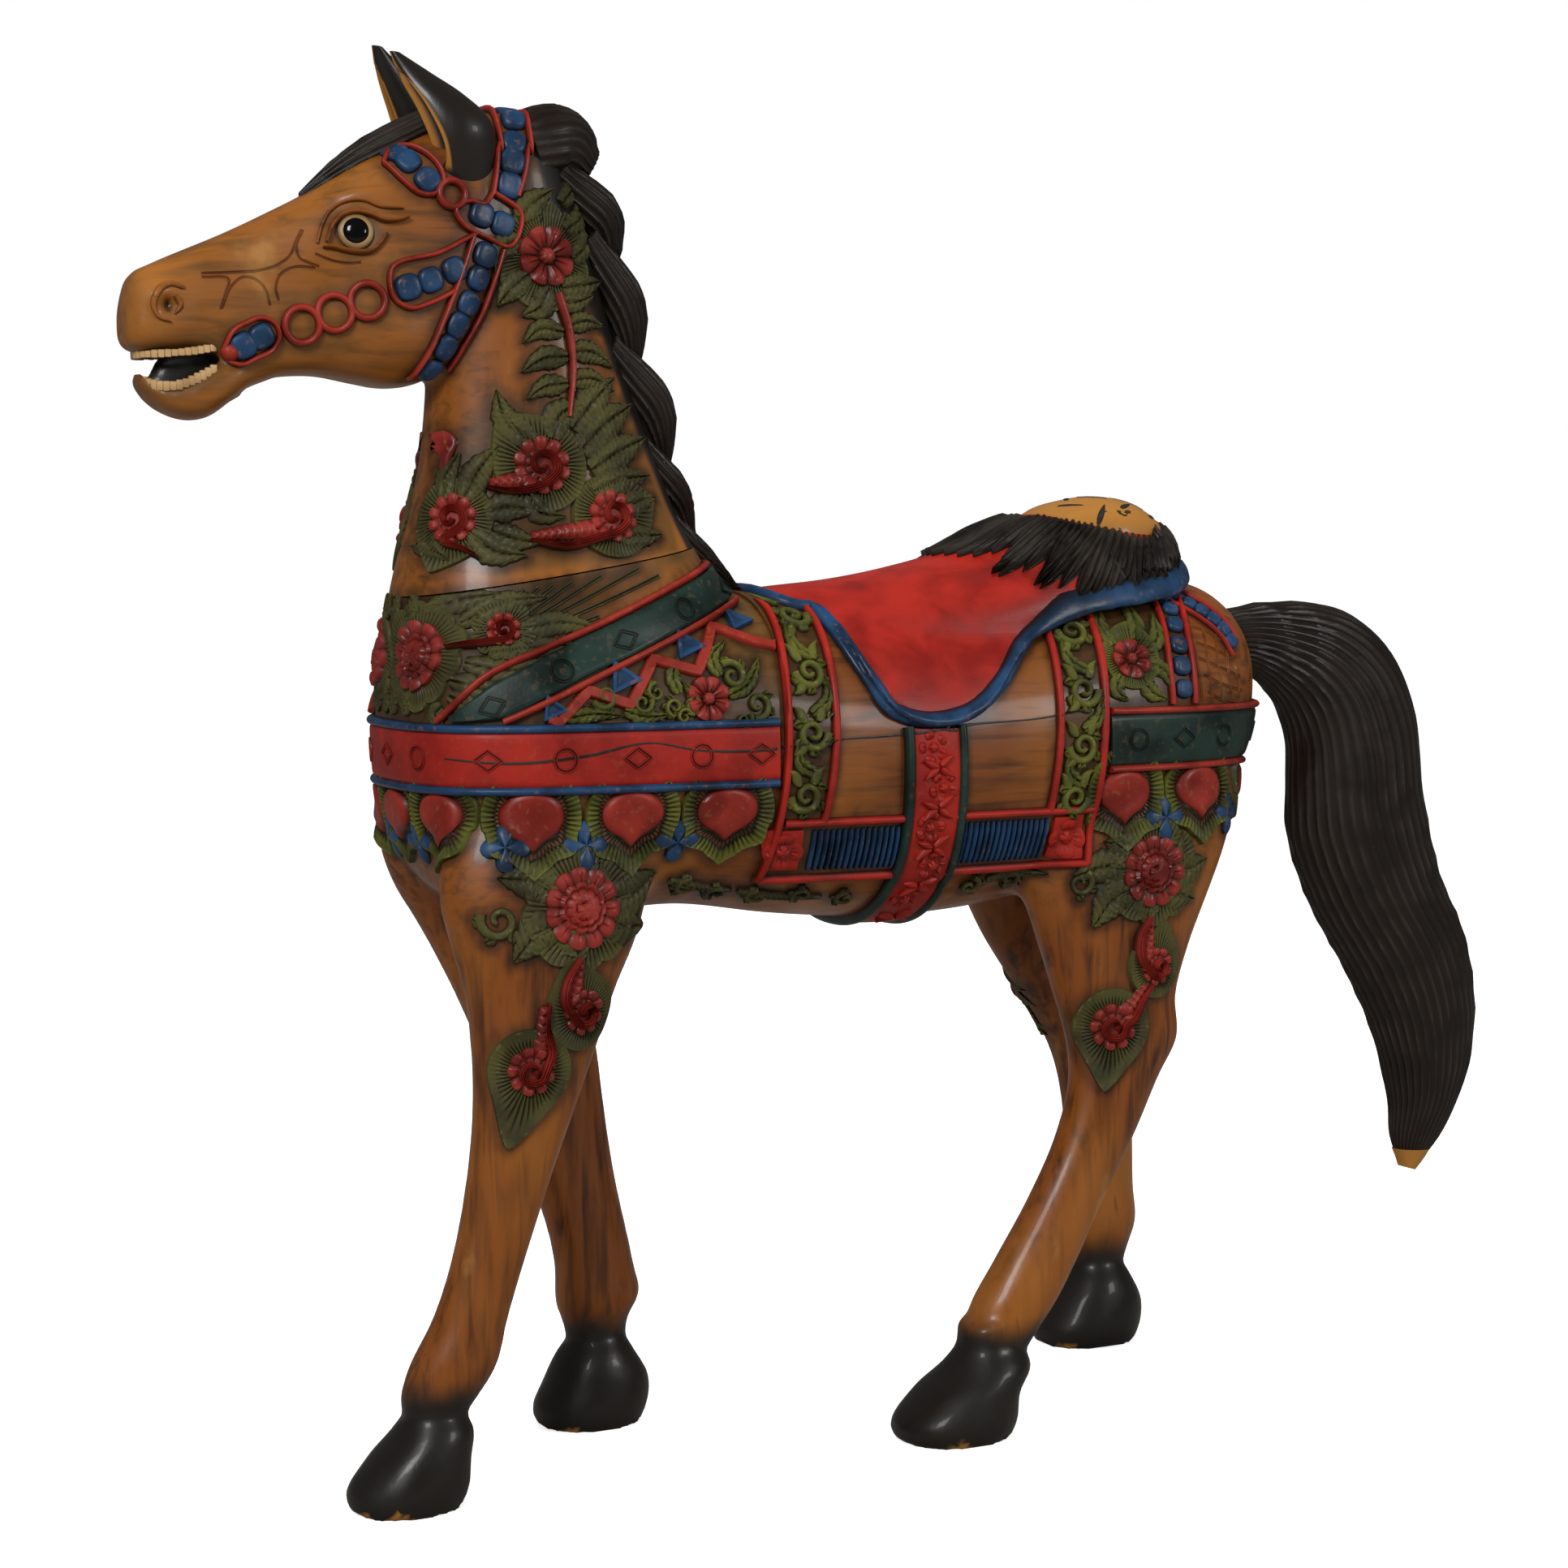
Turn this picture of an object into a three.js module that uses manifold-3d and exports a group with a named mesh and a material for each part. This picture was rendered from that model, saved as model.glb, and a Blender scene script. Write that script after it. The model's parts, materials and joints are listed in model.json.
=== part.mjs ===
// A carved and painted wooden carousel horse that stands on its own four hooves.
//
// The horse faces -X, its left side faces -Y, +Z is up, and its hooves stand on z = 0. It is carved as
// three pieces of glued-up wood: the trunk with its four legs, saddle and trappings; the neck and head,
// which sits on a sloping joint at the shoulders; and the tail, which plugs into the rump. All sizes are
// millimetres.
//
// Every rounded form is a loft between two edges of its side view. A station of a loft is a row
// [x1, z1, x2, z2, half, y]: the two edge points in the side view, the half thickness across the horse,
// and how far the station's centre stands from the middle plane.

import * as THREE from "three";
import { mergeVertices } from "three/addons/utils/BufferGeometryUtils.js";
import Module from "manifold-3d";

const wasm = await Module();
wasm.setup();

// Driving dimensions
const LEFT = -1;
const RIGHT = 1;
const SIDES = [LEFT, RIGHT];
const MIDDLE = 94; // stations are measured from near the withers; the horse's middle is this far behind
const JOINT = { frontX: -368, frontZ: 741, rearX: -70, rearZ: 788, gap: 1.2 }; // the neck's sloping joint
const SOCKET_GAP = 0.4; // round the tail's root in the rump
const SINK = 14; // how deep a raised piece is rooted in the wood
const REACH = 600; // a distance beyond any part of the horse's width
const BAND = { z: 612, width: 50, rise: 4.5, frontX: -215, rearX: 318 }; // the band round the chest and rump
const STRAP_RISE = 4;
const PAD_RISE = 3;
const BLANKET = { front: -78, rear: 246, bottom: 499, border: 42, fringe: 54, rise: 4.5 };
const GIRTH = { x: 72, width: 48, top: 650, rise: 6, axisZ: 600, side: 140 };
const SEAT_RISE = 8; // thickness of the saddle leather, as carved
const RIM = { width: 15, rise: 12 };
const TAIL_FLUTES = 12;
const HAIR_FLUTES = 4;
const FLUTE_DEPTH = 2.4;
const EYE = { x: -407, z: 1035, radius: 17, rise: 7, root: 12 };
const NOSTRIL = { x: -563, y: 32, z: 977, radius: 9 };
const BREAST_FLOWER = { z: 692, radius: 40, petals: 9, rise: 9 };
const UPPER_TEETH = { x: -533, z: 938, long: 44, wide: 25, tall: 15, slope: 3, count: 6 };
const LOWER_TEETH = { x: -533, z: 921, long: 36, wide: 22, tall: 14, slope: 8, count: 6 };

// ---------------------------------------------------------------- lofts and solids

// A closed THREE geometry as a manifold-3d solid.
function solid(geometry) {
  const bare = geometry.index ? geometry.toNonIndexed() : geometry.clone();
  bare.deleteAttribute("normal");
  bare.deleteAttribute("uv");
  const merged = mergeVertices(bare, 1e-3);
  return new wasm.Manifold(
    new wasm.Mesh({
      numProp: 3,
      vertProperties: merged.attributes.position.array,
      triVerts: new Uint32Array(merged.index.array),
    }),
  );
}

function join(solids) {
  return solids.reduce((all, one) => all.add(one));
}

// The solid as a named mesh with its own material.
function meshOf(made, name, color, roughness) {
  const data = made.getMesh();
  const geometry = new THREE.BufferGeometry()
    .setAttribute("position", new THREE.BufferAttribute(data.vertProperties, 3))
    .setIndex(new THREE.BufferAttribute(data.triVerts, 1));
  geometry.computeVertexNormals();
  const material = new THREE.MeshStandardMaterial({ color, roughness, metalness: 0 });
  const mesh = new THREE.Mesh(geometry, material);
  mesh.name = name;
  return mesh;
}

// Skin over rings of equally many points, closed at each end by a fan and turned to face outwards.
function skin(rings) {
  const around = rings[0].length;
  const points = rings.flat();
  const index = [];
  for (let r = 0; r + 1 < rings.length; r++) {
    for (let i = 0; i < around; i++) {
      const a = r * around + i;
      const b = r * around + ((i + 1) % around);
      index.push(a, b, a + around, b, b + around, a + around);
    }
  }
  for (const [ring, flip] of [
    [0, true],
    [rings.length - 1, false],
  ]) {
    const centre = rings[ring]
      .reduce((sum, p) => sum.add(p), new THREE.Vector3())
      .divideScalar(around);
    points.push(centre);
    for (let i = 0; i < around; i++) {
      const a = ring * around + i;
      const b = ring * around + ((i + 1) % around);
      index.push(...(flip ? [b, a] : [a, b]), points.length - 1);
    }
  }
  const geometry = new THREE.BufferGeometry().setFromPoints(points).setIndex(index);
  if (signedVolume(points, index) < 0) {
    for (let i = 0; i < index.length; i += 3) {
      [index[i + 1], index[i + 2]] = [index[i + 2], index[i + 1]];
    }
    geometry.setIndex(index);
  }
  return geometry;
}

function signedVolume(points, index) {
  let total = 0;
  for (let i = 0; i < index.length; i += 3) {
    const [a, b, c] = [points[index[i]], points[index[i + 1]], points[index[i + 2]]];
    total += a.dot(b.clone().cross(c));
  }
  return total;
}

// Rows of numbers with `steps` rows between each two stations, on a Catmull-Rom spline.
function eased(stations, steps) {
  const at = (i) => stations[THREE.MathUtils.clamp(i, 0, stations.length - 1)];
  const rows = [];
  for (let i = 0; i + 1 < stations.length; i++) {
    for (let s = 0; s < steps; s++) {
      const t = s / steps;
      rows.push(
        stations[i].map((_, k) => {
          const [p, q, r, u] = [at(i - 1)[k], at(i)[k], at(i + 1)[k], at(i + 2)[k]];
          const bend = 2 * p - 5 * q + 4 * r - u;
          const twist = 3 * q - 3 * r + u - p;
          return q + 0.5 * t * (r - p + t * (bend + t * twist));
        }),
      );
    }
  }
  rows.push(stations.at(-1));
  return rows;
}

// One ring of a loft. `square` over 2 makes it boxier, `taper` thins it towards the first edge, `flutes`
// cuts that many grooves round it, `depth` deep, and `grow` moves it outwards.
function ring(station, around, { square = 2, taper = 0, flutes = 0, depth = 0, grow = 0 } = {}) {
  const [x1, z1, x2, z2, half, y = 0] = station;
  const centre = new THREE.Vector3((x1 + x2) / 2, y, (z1 + z2) / 2);
  const along = new THREE.Vector3((x1 - x2) / 2, 0, (z1 - z2) / 2);
  const points = [];
  for (let i = 0; i < around; i++) {
    const angle = (2 * Math.PI * i) / around;
    const [c, s] = [Math.cos(angle), Math.sin(angle)];
    const reach = (Math.abs(c) ** square + Math.abs(s) ** square) ** (-1 / square);
    const groove = depth * Math.cos(flutes * angle) * Math.min(1, half / 20);
    const wide = half * s * reach * (1 - taper * c);
    const p = centre.clone().addScaledVector(along, c * reach);
    p.y += wide;
    const out = p.clone().sub(centre).normalize();
    points.push(p.addScaledVector(out, groove + grow));
  }
  return points;
}

function loft(stations, { around = 16, steps = 1, ...shape } = {}) {
  return skin(eased(stations, steps).map((row) => ring(row, around, shape)));
}

// ---------------------------------------------------------------- the bare forms

// The trunk from the breast to the buttocks: back line, belly line and half width.
const TRUNK = [
  [-366, 655, -366, 620, 14],
  [-359, 708, -360, 560, 58],
  [-338, 738, -342, 510, 96],
  [-290, 752, -300, 478, 121],
  [-215, 757, -222, 470, 131],
  [-120, 752, -120, 474, 135],
  [-20, 738, -20, 460, 138],
  [80, 732, 80, 452, 138],
  [180, 738, 170, 456, 137],
  [275, 752, 260, 472, 137],
  [360, 754, 352, 494, 130],
  [420, 744, 410, 530, 108],
  [453, 718, 446, 572, 74],
  [470, 680, 467, 620, 28],
];

const TRUNK_SHAPE = { around: 18, square: 2.25 };

// The breast runs up into the neck; the joint cuts this form in two.
const NECK = [
  [-345, 640, -40, 650, 112],
  [-364, 700, -50, 715, 110],
  [-362, 745, -84, 765, 92],
  [-350, 795, -108, 805, 77],
  [-337, 850, -128, 855, 66],
  [-331, 905, -148, 905, 58],
  [-329, 960, -168, 960, 53],
  [-326, 1015, -184, 1015, 49],
  [-318, 1065, -198, 1062, 45],
  [-306, 1110, -212, 1102, 40],
  [-290, 1142, -228, 1136, 28],
];

// The head from the poll to the upper lip: face line, jaw line and half width.
const HEAD = [
  [-238, 1128, -262, 1010, 36],
  [-272, 1142, -300, 962, 47],
  [-320, 1131, -336, 921, 52],
  [-362, 1114, -368, 913, 51],
  [-398, 1094, -398, 917, 48],
  [-432, 1071, -428, 922, 43],
  [-468, 1052, -460, 921, 37],
  [-505, 1034, -494, 916, 34],
  [-535, 1020, -525, 932, 33],
  [-562, 1006, -556, 934, 32],
  [-580, 988, -578, 936, 28],
  [-586, 968, -584, 946, 14],
];

// The lower jaw hangs open below the upper lip, with a rounded chin.
const JAW = [
  [-470, 945, -462, 921, 20],
  [-496, 940, -490, 908, 27],
  [-521, 930, -515, 890, 29],
  [-543, 920, -538, 885, 28],
  [-561, 914, -558, 891, 25],
  [-575, 913, -573, 902, 14],
];

// An ear from its root to its tip, standing out from the middle plane by the last number.
const EAR = [
  [-330, 1078, -284, 1080, 17, 39],
  [-342, 1112, -290, 1130, 18, 40],
  [-352, 1138, -312, 1151, 15, 36],
  [-362, 1160, -336, 1167, 10, 29],
  [-369, 1184, -360, 1183, 4, 21],
];
const EAR_TALLER = { [LEFT]: 0, [RIGHT]: 10 }; // the right ear stands a little higher

const FORELOCK = [
  [-318, 1150, -324, 1118, 24],
  [-355, 1134, -352, 1104, 26],
  [-392, 1113, -388, 1086, 20],
  [-418, 1092, -414, 1072, 13],
  [-440, 1070, -438, 1062, 4],
];

// The tail from its root in the rump to its tip.
const TAIL = [
  [438, 712, 450, 664, 20],
  [470, 722, 482, 664, 27],
  [535, 729, 520, 642, 36],
  [596, 722, 540, 616, 43],
  [650, 690, 549, 585, 47],
  [686, 630, 549, 546, 50],
  [697, 555, 551, 500, 51],
  [720, 466, 578, 432, 50],
  [758, 390, 622, 362, 45],
  [772, 315, 653, 302, 37],
  [759, 240, 673, 232, 27],
  [735, 194, 675, 196, 18],
  [706, 163, 686, 168, 8],
];

// The mane's locks from the poll to the withers: points down a lock, its widths there, and its half
// thickness.
const LOCKS = [
  { path: [[-268, 1112], [-225, 1120], [-188, 1102]], widths: [70, 72, 40], half: 44 },
  { path: [[-225, 1092], [-182, 1062], [-166, 1012]], widths: [40, 46, 12], half: 36 },
  { path: [[-198, 1040], [-160, 990], [-146, 925]], widths: [36, 46, 12], half: 34 },
  { path: [[-178, 950], [-134, 905], [-117, 842]], widths: [36, 46, 12], half: 33 },
  { path: [[-150, 868], [-114, 830], [-92, 790]], widths: [34, 38, 14], half: 30 },
  { path: [[-125, 808], [-88, 775], [-46, 742]], widths: [30, 30, 10], half: 26 },
];

// The seat from the withers to the cantle: its ridge, its underside in the trunk, and its half width.
const SEAT = [
  [-52, 744, -50, 700, 20],
  [-15, 748, -15, 660, 66],
  [50, 754, 50, 650, 92],
  [115, 765, 115, 645, 102],
  [170, 779, 170, 640, 106],
  [225, 804, 222, 630, 106],
  [300, 816, 300, 630, 102],
  [358, 810, 358, 650, 84],
  [382, 797, 382, 680, 58],
  [391, 772, 391, 710, 24],
];

// The saddle flap's lower edge on the side of the horse, from the withers to the cantle.
const FLAP = [
  [-56, 748],
  [0, 736],
  [3, 700],
  [22, 656],
  [48, 634],
  [91, 631],
  [130, 646],
  [177, 692],
  [228, 720],
  [299, 731],
  [388, 745],
];

// Flowers: where, how wide, how many petals, how high, and their leaves as [length, degrees from straight
// up, towards the tail]. The left side is the show side, and the right side has only the large ones.
const FLOWERS = [
  { on: "head", x: -245, z: 1020, radius: 25, petals: 7, rise: 9, leaves: [[58, 0], [36, 115], [36, -115]] },
  { on: "head", x: -259, z: 848, radius: 29, petals: 6, rise: 10, leaves: [[52, 55], [40, -50]] },
  { on: "head", x: -205, z: 808, radius: 27, petals: 6, rise: 10, leaves: [[40, 100]], leftOnly: true },
  { on: "head", x: -322, z: 808, radius: 22, petals: 5, rise: 9, leaves: [[46, 125]], leftOnly: true },
  { on: "body", x: -318, z: 712, radius: 18, petals: 5, rise: 8, leaves: [[48, 70]], leftOnly: true },
  { on: "body", x: -137, z: 657, radius: 19, petals: 5, rise: 8, leaves: [[36, -75]], leftOnly: true },
  { on: "body", x: -253, z: 491, radius: 36, petals: 8, rise: 13, leaves: [[62, -70], [70, 65], [56, 160]] },
  { on: "body", x: -254, z: 411, radius: 24, petals: 5, rise: 9, leaves: [], leftOnly: true },
  { on: "body", x: -296, z: 360, radius: 24, petals: 5, rise: 9, leaves: [[74, 200]], leftOnly: true },
  { on: "body", x: 281, z: 681, radius: 19, petals: 5, rise: 8, leaves: [[32, 180]], leftOnly: true },
  { on: "body", x: 299, z: 494, radius: 29, petals: 7, rise: 12, leaves: [[44, -60], [44, 60]] },
  { on: "body", x: 303, z: 412, radius: 22, petals: 5, rise: 9, leaves: [], leftOnly: true },
  { on: "body", x: 266, z: 356, radius: 26, petals: 5, rise: 9, leaves: [[50, 195]], leftOnly: true },
];
const LEAF_WIDTH = 0.62; // of its length

// Leather straps of the bridle on each side of the head: their centre lines and widths.
const BRIDLE = [
  {
    name: "cheek",
    path: [[-516, 944], [-470, 959], [-426, 974], [-380, 989], [-330, 1008], [-303, 1020]],
    width: 29,
  },
  {
    name: "brow",
    path: [[-368, 1096], [-345, 1082], [-322, 1066], [-302, 1054]],
    width: 25,
  },
];
const HEADSTALL = [
  [-258, 1128],
  [-266, 1106],
  [-275, 1078],
  [-286, 1050],
  [-300, 1020],
  [-314, 984],
  [-328, 950],
  [-340, 930],
];
const HEADSTALL_WIDTH = 34;

// The strap from the breast up to the withers, and the beaded strap over the croup.
const BREAST_STRAP = {
  path: [[-340, 650], [-300, 672], [-263, 689], [-204, 712], [-143, 734], [-96, 748]],
  width: 38,
};
const CROUP_STRAP = {
  path: [[351, 738], [341, 712], [336, 680], [334, 644]],
  width: 27,
};

const LEGS = {
  leg_front_left: [
    [-322, 600, -195, 615, 30, -62],
    [-350, 552, -176, 565, 42, -80],
    [-360, 500, -173, 510, 45, -90],
    [-352, 462, -186, 462, 43, -94],
    [-340, 420, -208, 420, 38, -97],
    [-334, 370, -227, 370, 34, -97],
    [-339, 262, -267, 262, 26, -94],
    [-368, 150, -304, 150, 26, -90],
    [-390, 108, -316, 108, 29, -89],
    [-395, 88, -328, 90, 26, -88],
  ],
  leg_front_right: [
    [-322, 600, -195, 615, 30, 62],
    [-350, 552, -175, 565, 42, 80],
    [-338, 500, -167, 510, 45, 88],
    [-312, 455, -160, 455, 42, 86],
    [-282, 400, -155, 400, 36, 84],
    [-256, 340, -149, 340, 32, 80],
    [-212, 225, -134, 225, 26, 76],
    [-189, 140, -116, 140, 28, 75],
    [-188, 108, -111, 112, 29, 75],
    [-181, 88, -122, 92, 24, 75],
  ],
  leg_hind_left: [
    [220, 640, 405, 650, 34, -62],
    [186, 560, 425, 575, 50, -80],
    [184, 510, 410, 520, 50, -88],
    [196, 465, 385, 465, 46, -92],
    [209, 425, 362, 420, 40, -96],
    [224, 380, 346, 375, 36, -99],
    [234, 340, 346, 338, 32, -103],
    [236, 306, 326, 306, 29, -105],
    [222, 257, 300, 257, 27, -107],
    [191, 200, 266, 200, 26, -109],
    [155, 147, 236, 147, 28, -111],
    [130, 108, 212, 110, 30, -112],
    [122, 84, 194, 88, 27, -113],
  ],
  leg_hind_right: [
    [220, 640, 405, 650, 34, 62],
    [195, 560, 430, 575, 50, 80],
    [208, 510, 424, 520, 50, 86],
    [232, 462, 410, 465, 46, 88],
    [258, 418, 400, 420, 40, 93],
    [290, 375, 400, 372, 35, 98],
    [322, 335, 412, 332, 32, 103],
    [348, 292, 430, 290, 29, 107],
    [370, 200, 441, 200, 26, 113],
    [374, 150, 444, 150, 27, 116],
    [374, 112, 446, 115, 30, 116],
    [376, 88, 438, 92, 26, 116],
  ],
};

// A hoof: toe and heel at the ground, toe and heel at the coronet, and its centre's y.
const HOOVES = {
  leg_front_left: { ground: [-440, -344], coronet: [-398, -340], y: -87 },
  leg_front_right: { ground: [-208, -110], coronet: [-183, -122], y: 75 },
  leg_hind_left: { ground: [55, 164], coronet: [110, 178], y: -114 },
  leg_hind_right: { ground: [340, 444], coronet: [372, 434], y: 116 },
};

function hoof({ ground, coronet, y }) {
  const [toe, heel] = ground;
  const [toeTop, heelTop] = coronet;
  const half = (heel - toe) / 2;
  const stations = [
    [toe, 0, heel, 0, half * 0.86, y],
    [toe - 1, 9, heel + 2, 9, half * 0.88, y],
    [toe * 0.62 + toeTop * 0.38, 38, heel + 6, 38, half * 0.84, y],
    [toeTop - 3, 62, heelTop + 4, 64, half * 0.68, y],
    [toeTop + 7, 77, heelTop - 5, 80, half * 0.5, y],
    [toeTop + 9, 98, heelTop - 8, 100, half * 0.48, y],
  ];
  return loft(stations, { around: 8, square: 2.2 });
}

// A plane cut of a solid: `keep` +1 keeps the side that the joint's neck is on.
function cutAtJoint(made, keep) {
  const { frontX, frontZ, rearX, rearZ, gap } = JOINT;
  const normal = new THREE.Vector3(frontZ - rearZ, 0, rearX - frontX).normalize();
  const offset = normal.dot(new THREE.Vector3(frontX, 0, frontZ));
  const way = normal.clone().multiplyScalar(keep).toArray();
  return made.trimByPlane(way, keep * offset + gap / 2);
}

// ---------------------------------------------------------------- laying carving on the wood

const TARGETS = {};

// Where a ray first meets the bare wood, and the wood's outward direction there, averaged over a small
// neighbourhood.
function meet(target, from, towards) {
  const way = towards.clone().sub(from).normalize();
  const shift = 12;
  const side = Math.abs(way.z) < 0.9 ? new THREE.Vector3(0, 0, 1) : new THREE.Vector3(1, 0, 0);
  const a = way.clone().cross(side).normalize().multiplyScalar(shift);
  const b = way.clone().cross(a).normalize().multiplyScalar(shift);
  const caster = new THREE.Raycaster();
  const first = (start) => {
    caster.set(start, way);
    return caster.intersectObject(TARGETS[target])[0]?.point;
  };
  const [c, p, q, r, s] = [
    first(from),
    first(from.clone().add(a)),
    first(from.clone().sub(a)),
    first(from.clone().add(b)),
    first(from.clone().sub(b)),
  ];
  const normal = p && q && r && s ? p.sub(q).cross(r.sub(s)).normalize() : way.clone().negate();
  if (normal.dot(way) > 0) normal.negate();
  return { point: c, normal };
}

// The wood at side-view place (x, z) on one side of the horse.
function beside(target, x, z, side) {
  return meet(target, new THREE.Vector3(x, side * REACH, z), new THREE.Vector3(x, 0, z));
}

// The wood met from the direction `degrees` round the vertical line through x: -90 is the left side, 180
// the front.
function roundAbout(target, x, z, degrees) {
  const angle = THREE.MathUtils.degToRad(degrees);
  const out = new THREE.Vector3(Math.cos(angle), Math.sin(angle), 0);
  const centre = new THREE.Vector3(x, 0, z);
  return meet(target, centre.clone().addScaledVector(out, REACH), centre);
}

// A flat band along a path of wood places, as wide as `width`, standing `rise` out of the wood.
function band(path, width, rise = STRAP_RISE) {
  const rings = path.map(({ point, normal }, i) => {
    const before = path[Math.max(i - 1, 0)].point;
    const after = path[Math.min(i + 1, path.length - 1)].point;
    const along = after.clone().sub(before).normalize();
    const across = normal.clone().cross(along).normalize().multiplyScalar(width / 2);
    const up = along.clone().cross(across).normalize();
    if (up.dot(normal) < 0) up.negate();
    return [
      point.clone().add(across).addScaledVector(up, -SINK),
      point.clone().add(across).addScaledVector(up, rise),
      point.clone().sub(across).addScaledVector(up, rise),
      point.clone().sub(across).addScaledVector(up, -SINK),
    ];
  });
  return solid(skin(rings));
}

// Carries a shape drawn in its own XY plane, z outwards, to a place on the wood, with its y towards `up`.
function layOn(geometry, { point, normal }, up = new THREE.Vector3(0, 0, 1)) {
  const x = up.clone().cross(normal).normalize();
  const y = normal.clone().cross(x);
  const placed = new THREE.Matrix4().makeBasis(x, y, normal).setPosition(point);
  return solid(geometry.clone().applyMatrix4(placed));
}

// A flower whose petals rise to a button in the middle, rooted in the wood.
function rosette(radius, petals, rise) {
  const angles = spread(0, 2 * Math.PI, petals * 2 + 1).slice(0, -1);
  const rings = [-SINK, rise * 0.5].map((height) =>
    angles.map((angle, i) => {
      const r = radius * (i % 2 ? 1 : 0.8);
      return new THREE.Vector3(r * Math.cos(angle), r * Math.sin(angle), height);
    }),
  );
  const geometry = skin(rings);
  geometry.attributes.position.setZ(geometry.attributes.position.count - 1, rise);
  return geometry;
}

// A leaf from its root to its tip: a kite with a raised midrib, `degrees` from straight up.
function leaf(root, length, width, degrees) {
  const belly = root + length * 0.42;
  const corners = [
    [0, root, 0.5],
    [width / 2, belly, 0.5],
    [0, root + length, 0.5],
    [-width / 2, belly, 0.5],
    [0, belly, PAD_RISE + width * 0.08],
    [0, belly, -SINK],
  ];
  const faces = spread(0, 3, 4).flatMap((i) => {
    const next = (i + 1) % 4;
    return [i, next, 4, next, i, 5];
  });
  return new THREE.BufferGeometry()
    .setFromPoints(corners.map((corner) => new THREE.Vector3(...corner)))
    .setIndex(faces)
    .rotateZ(-THREE.MathUtils.degToRad(degrees));
}

// A vertical block across the whole horse with this outline in the side view.
function across(outline) {
  const shape = new THREE.Shape(outline.map(([x, z]) => new THREE.Vector2(x, z)));
  const block = new THREE.ExtrudeGeometry(shape, { depth: REACH, bevelEnabled: false });
  return solid(block.rotateX(Math.PI / 2).translate(0, REACH / 2, 0));
}

function rectangle(x1, x2, z1, z2) {
  return [
    [x1, z1],
    [x2, z1],
    [x2, z2],
    [x1, z2],
  ];
}

function spread(from, to, count) {
  return Array.from({ length: count }, (_, i) => from + ((to - from) * i) / (count - 1));
}

// ---------------------------------------------------------------- the pieces

function ear(side) {
  const rows = EAR.map(([x1, z1, x2, z2, half, y], i) => {
    const lift = (EAR_TALLER[side] * i) / (EAR.length - 1);
    return [x1, z1 + lift, x2, z2 + lift, half, side * y];
  });
  const hollow = rows.slice(0, -1).map(([x1, z1, x2, z2, half, y]) => {
    const [x, z] = [x1 * 0.55 + x2 * 0.45, z1 * 0.55 + z2 * 0.45];
    return [x1 - 8, z1, x, z, half * 0.55, y + side * 4];
  });
  return solid(loft(rows, { around: 8 })).subtract(solid(loft(hollow, { around: 4 })));
}

// A lock of the mane: a fluted leaf shape along its path.
function lock({ path, widths, half }) {
  const ends = eased(
    path.map(([x, z], i) => [x, z, widths[i], half * (i === path.length - 1 ? 0.35 : 1)]),
    2,
  );
  const rows = ends.map(([x, z, width, thick], i) => {
    const [before, after] = [ends[Math.max(i - 1, 0)], ends[Math.min(i + 1, ends.length - 1)]];
    const along = new THREE.Vector2(after[0] - before[0], after[1] - before[1]).normalize();
    const [dx, dz] = [(-along.y * width) / 2, (along.x * width) / 2];
    return [x + dx, z + dz, x - dx, z - dz, thick, 0];
  });
  return solid(loft(rows, { around: HAIR_FLUTES * 2, flutes: HAIR_FLUTES, depth: FLUTE_DEPTH }));
}

// The band that runs level round the chest, and the one that runs round the rump.
function chestBand() {
  const { z, width, rise, frontX } = BAND;
  const { front } = BLANKET;
  const left = spread(front + 4, frontX, 3).map((x) => beside("body", x, z, LEFT));
  const round = spread(-108, -252, 9).map((degrees) => roundAbout("body", frontX, z, degrees));
  const right = spread(frontX, front + 4, 3).map((x) => beside("body", x, z, RIGHT));
  return band([...left, ...round, ...right], width, rise);
}

function rumpBand() {
  const { z, width, rise, rearX } = BAND;
  const { rear } = BLANKET;
  const left = spread(rear - 4, rearX, 3).map((x) => beside("body", x, z, LEFT));
  const round = spread(-72, 72, 7).map((degrees) => roundAbout("body", rearX, z, degrees));
  const right = spread(rearX, rear - 4, 3).map((x) => beside("body", x, z, RIGHT));
  return band([...left, ...round, ...right], width, rise);
}

// The girth passes under the belly from flap to flap.
function girth() {
  const { x, width, top, rise, axisZ, side } = GIRTH;
  const axis = new THREE.Vector3(x, 0, axisZ);
  const reach = THREE.MathUtils.radToDeg(Math.atan2(top - axisZ, side));
  const path = spread(180 - reach, 360 + reach, 11).map((degrees) => {
    const angle = THREE.MathUtils.degToRad(degrees);
    const out = new THREE.Vector3(0, Math.cos(angle), Math.sin(angle));
    return meet("body", axis.clone().addScaledVector(out, REACH), axis);
  });
  return band(path, width, rise);
}

function strap(target, { path, width }, side) {
  return band(
    path.map(([x, z]) => beside(target, x, z, side)),
    width,
  );
}

// The headstall goes over the poll, behind the ears, and down both cheeks to the throat.
function headstall() {
  const left = HEADSTALL.map(([x, z]) => beside("head", x, z, LEFT)).reverse();
  const right = HEADSTALL.map(([x, z]) => beside("head", x, z, RIGHT));
  const [x, z] = HEADSTALL[0];
  const over = meet("head", new THREE.Vector3(x, 0, z + REACH), new THREE.Vector3(x, 0, z));
  return band([...left, over, ...right], HEADSTALL_WIDTH, STRAP_RISE + 1);
}

function flower({ on, x, z, radius, petals, rise, leaves }, side) {
  const place = beside(on, x, z, side);
  const blades = leaves.map(([length, degrees]) => {
    const angle = THREE.MathUtils.degToRad(degrees);
    const reach = radius + length * 0.2;
    const spot = beside(on, x + reach * Math.sin(angle), z + reach * Math.cos(angle), side);
    return layOn(leaf(-length * 0.4, length, length * LEAF_WIDTH, -side * degrees), spot);
  });
  return join([layOn(rosette(radius, petals, rise), place), ...blades]);
}

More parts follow.
